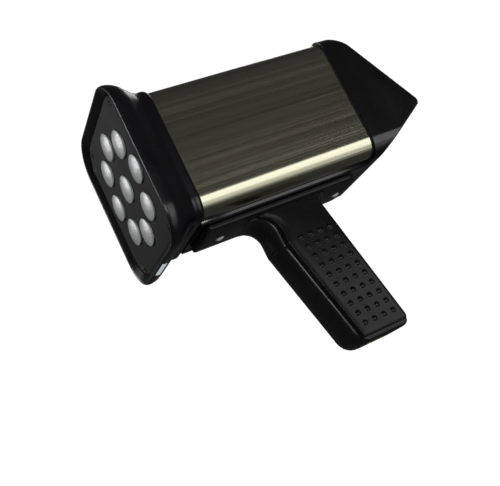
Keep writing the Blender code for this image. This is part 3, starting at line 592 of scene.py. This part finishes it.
# ------------------------------------------------------------------ rear cover
def cover_ring(x, height, inset):
    """Side outline at one distance from the middle, with its corners rounded."""
    fo, uo = FACE_O - FACE_N * inset, UNDER_O - UNDER_N * inset
    top, bot = min(49.5, height), -height
    yt = fo.y + (fo.z - top) / math.tan(FACE_TILT)
    yb = uo.y - (uo.z - bot) / math.tan(math.radians(30))
    a = Matrix(((FACE_N.y, FACE_N.z), (UNDER_N.y, UNDER_N.z)))
    tip = a.inverted() @ Vector((FACE_N.y * fo.y + FACE_N.z * fo.z, UNDER_N.y * uo.y + UNDER_N.z * uo.z))
    y0 = COVER_Y + 0.35 * inset
    pts = round_poly([(y0, bot), (yb, bot), (tip[0], tip[1]), (yt, top), (y0, top)], [0.35, 7.0, 4.5 - inset, 10.0 - inset, 0.35], 10)
    return [Vector((x, y, z)) for y, z in pts]


EDGE = 1.2
cols = []
for th in [90, 89.5, 89, 88, 87, 86, 84.5, 83, 81, 79, 76, 73, 70, 66, 62, 57, 52, 46, 40, 34, 27, 20, 13, 6, 0]:
    a = math.radians(th)
    x, hgt = 35.1 + 13.4 * math.sin(a), 36.6 + 13.4 * math.cos(a)
    cut = EDGE - math.sqrt(max(0.0, EDGE ** 2 - max(0.0, x - (48.5 - EDGE)) ** 2))
    cols.append((x, hgt, cut))
side_cols = cols + [(x, 50.0, 0.0) for x in (26.0, 17.0, 8.0, 0.0)]
rings = [cover_ring(-x, h, c) for x, h, c in side_cols] + [cover_ring(x, h, c) for x, h, c in side_cols[-2::-1]]
tube = raw("rear_cover_shell", loft(rings), COVER)
boolean(tube, [plate_on(on_face, rect(-40.3, 40.3, 7.7, 72.3, 5.3), -1.9, 4.0)])
SOCKETS = (("sync_socket", -14.0), ("charge_socket", 14.0))
boolean(tube, [merged(*[cylinder(on_under(u, 27.0), UNDER_N, 4.6, -6.0, 3.0) for _, u in SOCKETS])])
finish(tube, "tool", ("rear_cover",), 30.0)

for k, x in enumerate((28.0, -28.0)):
    screw(f"cover_fixing_{k + 1}", f"cover_screw_{k + 1}", "tool", (x, 162.0, 0), (0, 0, 1), 2.8, 48.3, 49.7, 1.2, 42.4)

for name, u in SOCKETS:
    c = on_under(u, 27.0)
    ring = raw(name + "_barrel", ring_turned([(2.1, -9.6), (4.0, -9.6), (4.0, 0.3), (6.0, 0.3), (6.2, 0.5), (6.2, 0.8), (5.7, 1.25), (4.6, 1.3),
                                              (4.3, 0.9), (2.6, 0.9), (2.3, 1.0), (2.1, 0.7)], 48, c, UNDER_N), STEEL)
    finish(ring, "tool", (name,), 35.0)
    core = raw(name + "_contact", turned([(0, -9.4), (2.0, -9.4), (2.0, -2.6), (0.75, -2.5), (0.75, -0.6), (0.45, -0.2), (0, -0.1)], 24, c, UNDER_N), BRASS)
    finish(core, "tool", (), 35.0)

# ------------------------------------------------------------------ control face
KEY_U, KEY_V = (3.0, 26.0), (48.0, 60.5)
KU, KV = -25.0, 54.5
fas = raw("fascia_plate", plate_on(on_face, rect(-40.0, 40.0, 8.0, 72.0, 5.0, 10), -1.6, 0.4), FASCIA)
bevel(fas, 0.35, 2, 50.0)
cuts = [plate_on(on_face, rect(-31.3, 31.3, 12.7, 39.3, 2.6), -4.0, 3.0), cylinder(on_face(KU, KV), FACE_N, 5.0, -4.0, 3.0)]
for u in KEY_U:
    for v in KEY_V:
        cuts.append(plate_on(on_face, rect(u - 8.8, u + 8.8, v - 4.55, v + 4.55, 2.1), -4.0, 3.0))
for u in (-36.4, 36.4):
    cuts.append(turned([(1.5, -4.0), (1.5, -0.9), (2.7, 0.3), (2.7, 2.0)], 32, on_face(u, 40.0), FACE_N))
boolean(fas, [merged(*cuts)])
finish(fas, "tool", ("control_fascia",), 30.0)
# scale ticks round the knob, raised a little from the fascia
ticks = []
for k in range(11):
    a = math.radians(-150 + 30 * k)
    d = Vector((math.sin(a), -math.cos(a)))
    q = Vector((d.y, -d.x))
    r0, r1, w = 12.9, (14.5 if k % 5 else 15.2), 0.28
    pts = [Vector((KU, KV)) + d * r + q * s for r, s in ((r0, -w), (r1, -w), (r1, w), (r0, w))]
    if all(abs(p.x) < 39.0 for p in pts) and all(p.y > 40.4 for p in pts):
        ticks.append(plate_on(on_face, [(p.x, p.y) for p in pts], 0.35, 0.47))
finish(raw("knob_scale_ticks", merged(*ticks), MARK), "tool", (), 30.0)

win = raw("display_glass_plate", plate_on(on_face, rect(-31.0, 31.0, 13.0, 39.0, 2.5, 8), -1.2, 0.6), GLASS)
bevel(win, 0.35, 3, 50.0)
finish(win, "tool", ("display_window",), 40.0)
area = raw("display_area", plate_on(on_face, rect(-26.5, 26.5, 16.0, 36.0, 0.8), 0.52, 0.615), LCD)
bevel(area, 0.03, 1, 50.0)
finish(area, "tool", (), 40.0)
SEG = {"a": (0, -1, 1), "g": (0, 0, 1), "d": (0, 1, 1), "f": (-1, -0.5, 0), "b": (1, -0.5, 0), "e": (-1, 0.5, 0), "c": (1, 0.5, 0)}
segs = []
for k in range(4):
    cu, cv, hw, hh, t = -18.3 + 12.2 * k, 26.0, 3.3, 7.0, 0.75
    for s in "abcdef":
        px, py, flat = SEG[s]
        mx, my = cu + px * hw - 0.06 * py * hh, cv + py * hh
        ln = (hw if flat else hh / 2) - 0.35
        shape = [(-ln, 0), (-ln + t, -t), (ln - t, -t), (ln, 0), (ln - t, t), (-ln + t, t)]
        pts = [(mx + a, my + b) if flat else (mx + b - 0.06 * a, my + a) for a, b in shape]
        segs.append(plate_on(on_face, pts, 0.60, 0.64))
finish(raw("display_segments", merged(*segs), LCD_DARK), "tool", (), 40.0)

names = ("key_faster", "key_slower", "key_mode", "key_power")
k = 0
for u in KEY_U:
    for v in KEY_V:
        rings = []
        for s, h in ((-0.8, -3.0), (-0.8, -2.2), (0.0, -2.2), (0.0, 0.9), (0.12, 1.25), (0.42, 1.55), (0.85, 1.7), (1.4, 1.74), (2.4, 1.66), (3.2, 1.6)):
            rings.append([on_face(a, b, h) for a, b in rect(u - 8.5 + s, u + 8.5 - s, v - 4.25 + s, v + 4.25 - s, max(0.4, 2.0 - max(0, s) * 0.5), 6)])
        key = raw(names[k] + "_cap", loft(rings), KEY_RED if names[k] == "key_power" else KEY, origin=on_face(u, v))
        finish(key, names[k], (names[k],), 55.0)
        if names[k] in ("key_faster", "key_slower"):
            sg = -1 if names[k] == "key_faster" else 1
            shape = [plate_on(on_face, [(u - 1.9, v - 1.2 * sg), (u + 1.9, v - 1.2 * sg), (u, v + 1.5 * sg)], 1.5, 1.79)]
        elif names[k] == "key_mode":
            shape = [plate_on(on_face, rect(u - 2.2 + 1.7 * j, u - 1.2 + 1.7 * j, v - 1.1, v + 1.1, 0.3, 4), 1.5, 1.79) for j in range(3)]
        else:
            arc = [(u + r * math.sin(math.radians(a)), v - r * math.cos(math.radians(a))) for r, aa in ((1.7, range(40, 321, 20)), (1.25, range(320, 39, -20))) for a in aa]
            shape = [plate_on(on_face, arc, 1.5, 1.79), plate_on(on_face, rect(u - 0.22, u + 0.22, v - 2.1, v - 0.5), 1.5, 1.79)]
        finish(raw(names[k] + "_symbol", merged(*shape), MARK), names[k], (), 40.0)
        k += 1

for k, u in enumerate((-36.4, 36.4)):
    screw(f"fascia_fixing_{k + 1}", f"fascia_screw_{k + 1}", "tool", on_face(u, 40.0), FACE_N, 2.2, -0.7, 0.45, 1.2, -5.0, BLACK_STEEL, "csk")

KNOB_N = 144


def flutes(r, h, t):
    if r < 10.4 or h < 2.2 or h > 11.6:
        return r
    s = math.cos(24 * t)
    return r - 0.42 * max(0.0, s) ** 0.6


prof = [(0, -2.4), (3.0, -2.4), (3.0, 1.0), (11.0, 1.0), (11.5, 1.15), (11.75, 1.5), (11.8, 2.1), (11.75, 2.6), (11.6, 5.0), (11.45, 8.0), (11.3, 11.0),
        (11.2, 11.5), (11.05, 12.1), (10.7, 12.75), (10.1, 13.15), (9.3, 13.2), (8.8, 13.0), (8.4, 12.7), (4.0, 12.6), (0, 12.6)]
knob = raw("rate_knob_body", turned(prof, KNOB_N, on_face(KU, KV), FACE_N, flutes), RUBBER, origin=on_face(KU, KV, 1.0))
finish(knob, "knob", ("rate_knob",), 40.0)
pointer = raw("rate_knob_pointer", plate_on(on_face, rect(KU - 0.45, KU + 0.45, KV - 9.2, KV - 4.6, 0.4, 5), 12.4, 13.15), MARK)
bevel(pointer, 0.12, 2, 50.0)
finish(pointer, "knob", (), 40.0)


# ------------------------------------------------------------------ handle
def grip_front(z):
    if z > -71.0:
        return 63.2 + math.sqrt(max(0.0, 14.5 ** 2 - (z + 71.0) ** 2))
    if z > -81.0:
        return 77.7
    y = 77.8 + 0.2487 * (-81.0 - z)
    if z < -156.8:
        y += 10.0 - math.sqrt(max(0.0, 100.0 - (z + 156.8) ** 2))
    return y


def grip_rear(z):
    y = 129.6 + 0.2035 * (-81.0 - z)
    if z > -64.5:
        y += 7.5 - math.sqrt(max(0.0, 7.5 ** 2 - (z + 64.5) ** 2))
    if z < -160.8:
        y -= 6.0 - math.sqrt(max(0.0, 36.0 - (z + 160.8) ** 2))
    return y


def groove(z):
    if z > -71.0:
        return 69.6 + math.sqrt(max(0.0, 14.5 ** 2 - (z + 71.0) ** 2))
    return 77.8 + 0.2487 * max(0.0, -81.0 - z) + 6.3


def core_half_w(z):
    w = 15.5
    if z < -163.8:
        w -= 3.0 - math.sqrt(max(0.0, 9.0 - (z + 163.8) ** 2))
    return w


def crown(x):
    return -56.7 + 2.0 * (x / 21.5) ** 2


def core_ring(z, n=16):
    w, yf, yr = core_half_w(z), grip_front(z), grip_rear(z)
    d = min(7.2, (yr - yf) * 0.4)
    pts = []
    for k in range(2 * n + 1):
        t = math.radians(-90.0 + 180.0 * k / (2 * n))
        pts.append((w * math.sin(t), yf + d * (1.0 - math.cos(t))))
    m = 6
    for k in range(m + 1):                     # rounded rear corner
        a = math.radians(90.0 * k / m)
        pts.append((w - 1.6 + 1.6 * math.cos(a), yr - 0.55 - 1.6 + 1.6 * math.sin(a)))
    for k in range(1, 12):
        x = (w - 1.6) * (1 - 2 * k / 12)
        pts.append((x, yr - 0.55 * (x / (w - 1.6)) ** 2))
    for k in range(m + 1):
        a = math.radians(90.0 + 90.0 * k / m)
        pts.append((-w + 1.6 + 1.6 * math.cos(a), yr - 0.55 - 1.6 + 1.6 * math.sin(a)))
    return pts


def steps(a, b, n):
    return [a + (b - a) * k / n for k in range(n + 1)]


zs = steps(-54.0, -56.4, 3) + steps(-56.5, -71.0, 30)[0:] + [-72.5, -75.0, -78.0, -80.4, -80.8, -81.0, -81.3] + steps(-84.0, -156.0, 18)
zs += steps(-156.8, -166.0, 22) + [-166.3, -166.55, -166.7, -166.8]
core = raw("grip_core", loft([[Vector((x, y, z)) for x, y in core_ring(z)] for z in zs]), SATIN)
PIN_Z = -122.0
PIN_Y = grip_front(PIN_Z) + 10.3
bay = loft([[Vector((x, grip_front(z) + y, z)) for x, y in ((-16.5, -6.0), (16.5, -6.0), (16.5, 10.4), (9.0, 10.4), (9.0, 16.4), (-9.0, 16.4), (-9.0, 10.4), (-16.5, 10.4))]
            for z in (-81.85, -126.85)])


def bay_ring(z, w, a, b):
    return [Vector((x, y, z)) for x, y in ((-w, grip_front(z) + a), (w, grip_front(z) + a), (w, grip_rear(z) + b), (-w, grip_rear(z) + b))]


batt = loft([bay_ring(z, 11.0, 18.0, -3.2) for z in (-72.0, -81.0, -153.8)])
doorway = loft([bay_ring(-75.8, 11.0, 22.0, 6.0), bay_ring(-153.8, 11.0, 22.0, 6.0)])
seat = loft([[Vector((x, y, z)) for x, y in ((-12.8, grip_rear(z) - 2.9), (12.8, grip_rear(z) - 2.9), (12.8, grip_rear(z) + 6.0), (-12.8, grip_rear(z) + 6.0))]
             for z in (-75.8, -150.0)])
hinge_room = loft([[Vector((x, grip_rear(z) + y, z)) for x, y in ((-12.8, -5.0), (12.8, -5.0), (12.8, 6.0), (-12.8, 6.0))] for z in (-149.0, -155.2)])
boolean(core, [bay, batt, doorway, seat, hinge_room, cylinder((0, 118.8, 0), (0, 0, 1), 8.15, -168.0, -158.3)])
finish(core, "tool", ("handle_frame",), 30.0)


def flange_ring(y, half, lift):
    pts = []
    for k in range(5):
        a = math.radians(90 - 90 * k / 4)
        pts.append((half - 0.7 + 0.7 * math.cos(a), -51.0 - 0.7 + 0.7 * math.sin(a)))
    r = 1.5
    zb = crown(half - r) + 0.25
    for k in range(8):
        a = math.radians(-80 * k / 7)
        pts.append((half - r + r * math.cos(a), zb + r - 0.25 + r * math.sin(a) + lift))
    m = 30
    for k in range(1, m):
        x = (half - r) * (1 - 2 * k / m)
        pts.append((x, crown(x) + lift))
    left = [(-x, z) for x, z in pts[:13]][::-1]
    return at_y(pts + left, y)


R_END = 4.0
rings = [flange_ring(33.2 + R_END * (1 - math.cos(math.radians(90.0 * k / 8))), 23.5 - R_END * (1 - math.sin(math.radians(90.0 * k / 8))),
                     0.8 * (1 - math.sin(math.radians(90.0 * k / 8))) ** 1.0) for k in range(9)]
rings += [flange_ring(y, 23.5, 0.0) for y in (50, 65, 80, 95, 110, 125, 140, 150)]
rings += [flange_ring(158.5 - 6.4 * (1 - math.cos(math.radians(90.0 * k / 8))), 23.5 - 6.0 * (1 - math.sin(math.radians(90.0 * k / 8))),
                      0.8 * (1 - math.sin(math.radians(90.0 * k / 8)))) for k in range(8, -1, -1)]
flange = raw("handle_flange", loft(rings), SATIN)
boolean(flange, [merged(*[turned([(4.4, -60.0), (4.4, -54.3), (2.3, -54.2), (2.3, -50.0)], 40, (0, y, 0), (0, 0, 1)) for y in (48.0, 148.5)])])
finish(flange, "tool", (), 34.0)
for name, node, y in (("handle_fixing_front", "handle_screw_front", 48.0), ("handle_fixing_rear", "handle_screw_rear", 148.5)):
    screw(name, node, "tool", (0, y, 0), (0, 0, -1), 4.0, 54.5, 57.5, 2.0, 41.2, BRIGHT_ZINC)

# ---- side panels with four columns of raised dots


def dot(y, z):
    best = 0.0
    r = round((-80.7 - z) / 8.11)
    for rr in (r - 1, r, r + 1):
        if 0 <= rr <= 9:
            c = round((y - 96.2 - 1.62 * rr) / 8.25)
            for cc in (c - 1, c, c + 1):
                if 0 <= cc <= 3:
                    d = math.hypot(y - 96.2 - 8.25 * cc - 1.62 * rr, z + 80.7 + 8.11 * rr)
                    if d < 2.1:
                        t = d / 1.75
                        v = 0.85 * math.sqrt(max(0.0, 1 - t * t)) if t < 0.9 else 0.37 * max(0.0, (2.1 - d) / (2.1 - 1.575)) ** 2
                        best = max(best, v)
    return best


def pad_ring(z, sx, n=10, m=110, top=False):
    out = 19.5
    if z < -158.0:
        t = min(1.0, (-158.0 - z) / 4.8)
        out -= 2.1 * (1.0 - math.sqrt(max(0.0, 1.0 - t * t)))
    inn = 15.8
    yf, yr = groove(z), 129.6 + 0.2035 * (-81.0 - z) - 0.9
    if z > -64.5:
        yr += 7.5 - math.sqrt(max(0.0, 7.5 ** 2 - (z + 64.5) ** 2))
    if z < -158.8:
        t = min(1.0, (-158.8 - z) / 4.0)
        yr -= 2.5 * (1.0 - math.sqrt(max(0.0, 1.0 - t * t)))
    a, b = out - inn, min(3.2, (yr - yf) / 3)
    f = a / 3.7                                 # bevelled front edge, then a slow run up to the flat
    pts = [(inn, yf)]
    for dx, dy in ((0.30, 0.0), (0.75, 0.30), (1.35, 0.72), (1.95, 1.14), (2.55, 1.56), (2.82, 1.75), (2.89, 1.81), (2.92, 1.88), (2.94, 1.97), (2.965, 2.10), (2.99, 2.24)):
        pts.append((inn + dx * f, yf + dy))
    y0, y1 = yf + 2.24, yr - b
    for k in range(1, m):
        y = y0 + (y1 - y0) * k / m
        s = min(1.0, (y - y0) / 6.6)
        pts.append((inn + (3.7 - 0.71 * (1.0 - s) ** 2) * f, y))
    for k in range(n + 1):
        t = math.radians(90.0 * k / n)
        pts.append((inn + 0.4 + (a - 0.4) * math.cos(t), yr - b * (1 - math.sin(t))))
    pts.append((inn, yr))
    ring = []
    for x, y in pts:
        zz = crown(x) - GAP if top else z
        if x > inn + 0.5 and -158.5 < z < -76.5:
            x += dot(y, z)
        ring.append(Vector((sx * x, y, zz)))
    return ring


pz = steps(-57.2, -76.0, 38) + steps(-76.4, -158.4, 205) + steps(-158.8, -162.6, 16) + [-162.7, -162.78, -162.8]
for sx, side in ((1, "left"), (-1, "right")):
    rings = [pad_ring(-57.0, sx, top=True)] + [pad_ring(z, sx) for z in pz]
    pad = raw(f"{side}_grip_side", loft(rings), PAD)
    if side == "right":
        pscrew = [(118.0, -65.5), (grip_front(-140) + 12.5, -140.0)]
        boolean(pad, [merged(*[turned([(1.9, 5.0), (1.9, 17.6), (3.6, 17.6), (3.6, 40.0)], 36, (0, y, z), (-1, 0, 0)) for y, z in pscrew])])
    finish(pad, "tool", (f"{side}_grip_panel",), 50.0)
for k, (y, z) in enumerate(pscrew):
    screw(f"grip_fixing_{k + 1}", f"grip_screw_{k + 1}", "tool", (0, y, z), (-1, 0, 0), 3.2, 17.9, 19.2, 1.5, 6.0)


# ---- trigger
def trig_ring(z, inset=0.0, n=18):
    w, yf = 15.42 - inset, grip_front(z) + inset
    pts = []
    for k in range(2 * n + 1):
        t = math.radians(-90.0 + 180.0 * k / (2 * n))
        pts.append((w * math.sin(t), yf + (7.05 - inset) * (1.0 - math.cos(t))))
    return [Vector((x, y, z)) for x, y in pts]


tz = [(-81.93, 0.16), (-82.0, 0.06), (-82.1, 0.0)] + [(z, 0.0) for z in steps(-86.0, -123.0, 14)] + [(-126.3, 0.0), (-126.9, 0.0), (-127.0, 0.06), (-127.07, 0.16)]
trig = raw("trigger_lever", loft([trig_ring(z, i) for z, i in tz]), SATIN, origin=(0, grip_front(-104.0) + 6.8, -104.0))
heels = [loft([[Vector((x, grip_front(z) + y, z)) for x, y in ((-7.8, 5.4), (7.8, 5.4), (7.8, depth), (-7.8, depth))] for z in (za, zb)])
         for za, zb, depth in ((-83.4, -89.0, 9.4), (-117.4, -126.3, 12.9))]
boolean(trig, heels, "UNION")
slot_pts = []
for k in range(13):
    a = math.radians(90 + 180 * k / 12)
    slot_pts.append((PIN_Y - 2.6 + 1.5 * math.cos(a), PIN_Z + 1.5 * math.sin(a)))
for k in range(13):
    a = math.radians(-90 + 180 * k / 12)
    slot_pts.append((PIN_Y + 1.5 * math.cos(a), PIN_Z + 1.5 * math.sin(a)))
boolean(trig, [prism(slot_pts, -20.0, 20.0, "X"), cylinder((0, grip_front(-112.0), -112.0), (0, 1, 0), 3.5, 4.2, 20.0)])
finish(trig, "trigger", ("trigger",), 35.0)


# ---- battery door and catch
def door_ring(z, rear=0.0):
    y = grip_rear(z) - rear
    pts = [(-12.5, y - 2.6), (12.5, y - 2.6)]
    for k in range(5):
        a = math.radians(90 * k / 4)
        pts.append((11.7 + 0.8 * math.cos(a), y - 1.25 + 0.8 * math.sin(a)))
    for k in range(1, 16):
        x = 11.7 * (1 - 2 * k / 16)
        pts.append((x, y - 0.45 * (x / 11.7) ** 2))
    for k in range(5):
        a = math.radians(90 + 90 * k / 4)
        pts.append((-11.7 + 0.8 * math.cos(a), y - 1.25 + 0.8 * math.sin(a)))
    return [Vector((px, py, z)) for px, py in pts]


DY, DZ = grip_rear(-152.4) - 2.4, -152.4
dz = [(-76.0, 0.5), (-76.15, 0.2), (-76.5, 0.04), (-77.0, 0.0)] + [(z, 0.0) for z in steps(-80.0, -150.0, 20)] + [(-152.4, 0.0), (-153.2, 0.2), (-153.9, 0.9)]
door = raw("battery_door_panel", loft([door_ring(z, i) for z, i in dz]), SATIN, origin=(0, DY, DZ))
boolean(door, [cylinder((0, DY, DZ), (1, 0, 0), 2.0, -12.5, 12.5)], "UNION")


def catch_block(x, za, zb, ya, yb):
    return loft([[Vector((px, grip_rear(z) + py, z)) for px, py in ((-x, ya), (x, ya), (x, yb), (-x, yb))] for z in (za, zb)])


boolean(door, [cylinder((0, DY, DZ), (1, 0, 0), 0.9, -13.0, 13.0, 24), catch_block(6.3, -77.7, -87.3, -6.0, 4.0),
               merged(*[catch_block(7.5, z, z - 0.9, -0.75, 3.0) for z in (-92.0, -94.2, -96.4, -98.6)])])
finish(door, "door", ("battery_door",), 30.0)
catch = raw("door_catch_slider", catch_block(6.0, -78.0, -84.0, -4.4, 0.15), RUBBER, origin=(0, grip_rear(-81.0) - 1.0, -81.0))
boolean(catch, [catch_block(7.6, -78.3, -83.7, -4.9, -3.1), catch_block(4.0, -74.2, -79.0, -4.7, -3.6)] +
        [catch_block(5.0, z, z - 0.55, -1.0, 0.5) for z in (-78.9, -80.1, -81.3, -82.5)], "UNION")
bevel(catch, 0.15, 2, 50.0)
finish(catch, "catch", ("door_catch",), 35.0)

# battery pack: three wrapped cells
cells = []
for k in range(3):
    za, zb = -89.5 - 19.6 * k, -89.5 - 19.6 * (k + 1) + 0.6
    zm = (za + zb) / 2
    yc = (grip_front(zm) + 18.4 + grip_rear(zm) - 4.0) / 2
    half_y = (grip_rear(za) - 4.0 - grip_front(za) - 18.4) / 2 - 2.2
    pts = round_poly([(yc - half_y, zb), (yc + half_y, zb), (yc + half_y, za), (yc - half_y, za)], [4.0] * 4, 8)
    cells.append(prism(pts, -10.4, 10.4, "X"))
pack = raw("battery_cells", merged(*cells), WRAP)
bevel(pack, 0.6, 3, 50.0)
finish(pack, "tool", ("battery_pack",), 40.0)

# tripod bush with its thread
th = []
for k in range(9):
    z = -166.3 + 0.9 * k
    th += [(3.55, z), (3.2, z + 0.45)]
bush = raw("threaded_bush", ring_turned([(3.7, -166.8), (7.6, -166.8), (8.0, -166.4), (8.0, -158.6), (3.2, -158.6)] + th[::-1], 48, (0, 118.8, 0), (0, 0, 1)), BRASS)
finish(bush, "tool", ("tripod_bush",), 30.0)

# small pale glowing patch on the underside of the bezel's lip: a painted reflection of bright light on the lip's glossy
# underside
patch = []
for y, o in ((-1.7, 12.76), (-1.2, 12.99), (0.0, 13.12), (0.8, 13.14), (1.6, 13.03), (2.4, 12.9), (3.2, 12.72)):
    x0, x1 = -15.4 - 0.72 * (y + 1.9), 8.6 - 0.66 * (y + 1.9)
    patch.append((y, -(HH + o), x0, x1))
bm = bmesh.new()
rows = []
for y, z, x0, x1 in patch:
    rows.append([bm.verts.new(Vector((x, y, z - dz))) for dz in (0.05,) for x in (x0, (x0 + x1) / 2, x1)] +
                [bm.verts.new(Vector((x, y, z + 0.3))) for x in (x1, (x0 + x1) / 2, x0)])
for a, b in zip(rows, rows[1:]):
    for i in range(6):
        j = (i + 1) % 6
        bm.faces.new((a[i], a[j], b[j], b[i]))
bm.faces.new(rows[0][::-1])
bm.faces.new(rows[-1])
finish(raw("lip_painted_reflection", bm, GLINT_GLOW), "tool", (), 40.0)

# ------------------------------------------------------------------ finishes on the pieces carried over
for names, m in ((("led_panel",), PANEL), (("led_board", "driver_board", "key_board"), BOARD), (("heat_sink",), HEAT),
                 (("front_seal", "handle_lead"), RUBBER), (("storage_capacitor", "display_module"), WRAP),
                 (("handle_nut_front", "handle_nut_rear", "trigger_pin", "trigger_spring", "door_pin", "rotary_encoder"), STEEL),
                 (("trigger_switch",), COVER)):
    for n in names:
        ob = frame["nodes"][n]
        ob.data.materials.clear()
        ob.data.materials.append(m)

# ------------------------------------------------------------------ stage, light, camera
bm = bmesh.new()
FLOOR_C, FLOOR_R, FLOOR_Z = Vector((0.2, -0.15)), 0.85, -0.24
rows = [[bm.verts.new((0.0, 0.0, 0.0))]]
for i in range(1, 13):
    rows.append([bm.verts.new((FLOOR_R * i / 12 * math.cos(t), FLOOR_R * i / 12 * math.sin(t), 0.0)) for t in (2 * math.pi * k / 72 for k in range(72))])
for i in range(12):
    for k in range(72):
        j = (k + 1) % 72
        bm.faces.new((rows[0][0], rows[1][k], rows[1][j]) if i == 0 else (rows[i][k], rows[i + 1][k], rows[i + 1][j], rows[i][j]))
me = bpy.data.meshes.new("floor")
bm.to_mesh(me)
bm.free()
floor = bpy.data.objects.new("floor", me)
SCENE.collection.objects.link(floor)
floor.location = (FLOOR_C.x, FLOOR_C.y, FLOOR_Z)
floor.visible_glossy = False
floor.visible_diffuse = False
floor.visible_shadow = False
t = Tree("pale_floor")
t.set(Base_Color=t.ramp(t.noise(3.0, 3.0), [(0.3, (0.86, 0.86, 0.86)), (0.7, (0.90, 0.90, 0.90))]), Roughness=0.9)
t.b.inputs["Specular IOR Level"].default_value = 0.05
t.b.inputs["Emission Color"].default_value = (1, 1, 1, 1)
t.b.inputs["Emission Strength"].default_value = 0.60
ln = t.new("ShaderNodeVectorMath", operation="LENGTH")
t.link(t.coord, ln.inputs[0])
fade = t.new("ShaderNodeMapRange", interpolation_type="SMOOTHSTEP")
for k_, v_ in (("From Min", 0.40), ("From Max", FLOOR_R * 0.99), ("To Min", 1.0), ("To Max", 0.0)):
    fade.inputs[k_].default_value = v_
t.link(ln.outputs["Value"], fade.inputs["Value"])
t.link(fade.outputs["Result"], t.b.inputs["Alpha"])
me.materials.append(t.m)


def area(name, where, target, w, h, radiance, colour=(1, 1, 1)):
    """A soft box of an even brightness, in the scene's own units, w by h metres."""
    l = bpy.data.lights.new(name, "AREA")
    l.shape = "RECTANGLE"
    l.size, l.size_y = w, h
    l.energy = radiance * math.pi * w * h
    l.color = colour
    o = bpy.data.objects.new(name, l)
    SCENE.collection.objects.link(o)
    o.location = where
    o.rotation_euler = (Vector(target) - Vector(where)).to_track_quat("-Z", "Y").to_euler()
    o.visible_camera = False
    return o


MID = Vector((0.0, -0.03, 0.12))


def towards(x, y, z, dist):
    return MID + Vector((x, y, z)).normalized() * dist


area("side_box", towards(0.869, 0.462, -0.205, 2.0), MID, 1.34, 1.25, 1.85, (0.98, 0.98, 1.0))
area("side_low", towards(0.672, 0.388, -0.629, 2.0), MID, 1.30, 0.70, 0.95)
area("side_under", towards(0.44, 0.40, -0.79, 2.0), MID, 1.20, 0.36, 0.24)
area("front_box", towards(-0.55, -0.75, 0.40, 1.2), MID, 0.38, 0.30, 10.5, (0.97, 0.98, 1.0))
area("edge_box", towards(0.93, -0.27, -0.06, 1.5), MID, 0.42, 0.40, 15.0)
area("top_box", towards(-0.2, -0.95, 1.0, 2.4), MID, 1.5, 1.0, 0.8)
area("rear_box", towards(-0.75, 1.0, 0.72, 2.0), MID, 0.9, 0.9, 2.0)

w = bpy.data.worlds.new("studio")
SCENE.world = w
w.use_nodes = True
wt = w.node_tree
bg = wt.nodes["Background"]
bg.inputs["Color"].default_value = (1, 1, 1, 1)
bg.inputs["Strength"].default_value = 1.05
dim = wt.nodes.new("ShaderNodeBackground")
dim.inputs["Color"].default_value = (0.96, 0.97, 1.0, 1)
dim.inputs["Strength"].default_value = 0.052
path = wt.nodes.new("ShaderNodeLightPath")
mixw = wt.nodes.new("ShaderNodeMixShader")
wt.links.new(path.outputs["Is Camera Ray"], mixw.inputs[0])
wt.links.new(dim.outputs[0], mixw.inputs[1])
wt.links.new(bg.outputs[0], mixw.inputs[2])
wt.links.new(mixw.outputs[0], wt.nodes["World Output"].inputs["Surface"])

cam = bpy.data.cameras.new("camera")
cam_ob = bpy.data.objects.new("camera", cam)
SCENE.collection.objects.link(cam_ob)
SCENE.camera = cam_ob
cam.sensor_width = 36.0
cam.lens = 864.249 / 500.0 * 36.0
cam.clip_start, cam.clip_end = 0.01, 60.0
right = Vector((0.30056, 0.849077, -0.434432)).normalized()
fwd = Vector((-0.889797, 0.413626, 0.19281)).normalized()
up = right.cross(fwd).normalized()
right = fwd.cross(up).normalized()
m = Matrix.Identity(4)
for i in range(3):
    m[i][0], m[i][1], m[i][2] = right[i], up[i], -fwd[i]
    m[i][3] = (Vector((548.203, -187.271, -186.028)) + HEAD)[i] * MM
cam_ob.matrix_world = m
SCENE.view_settings.view_transform = "Standard"
SCENE.view_settings.look = "None"
SCENE.view_settings.exposure = 0.0
SCENE.view_settings.gamma = 1.0
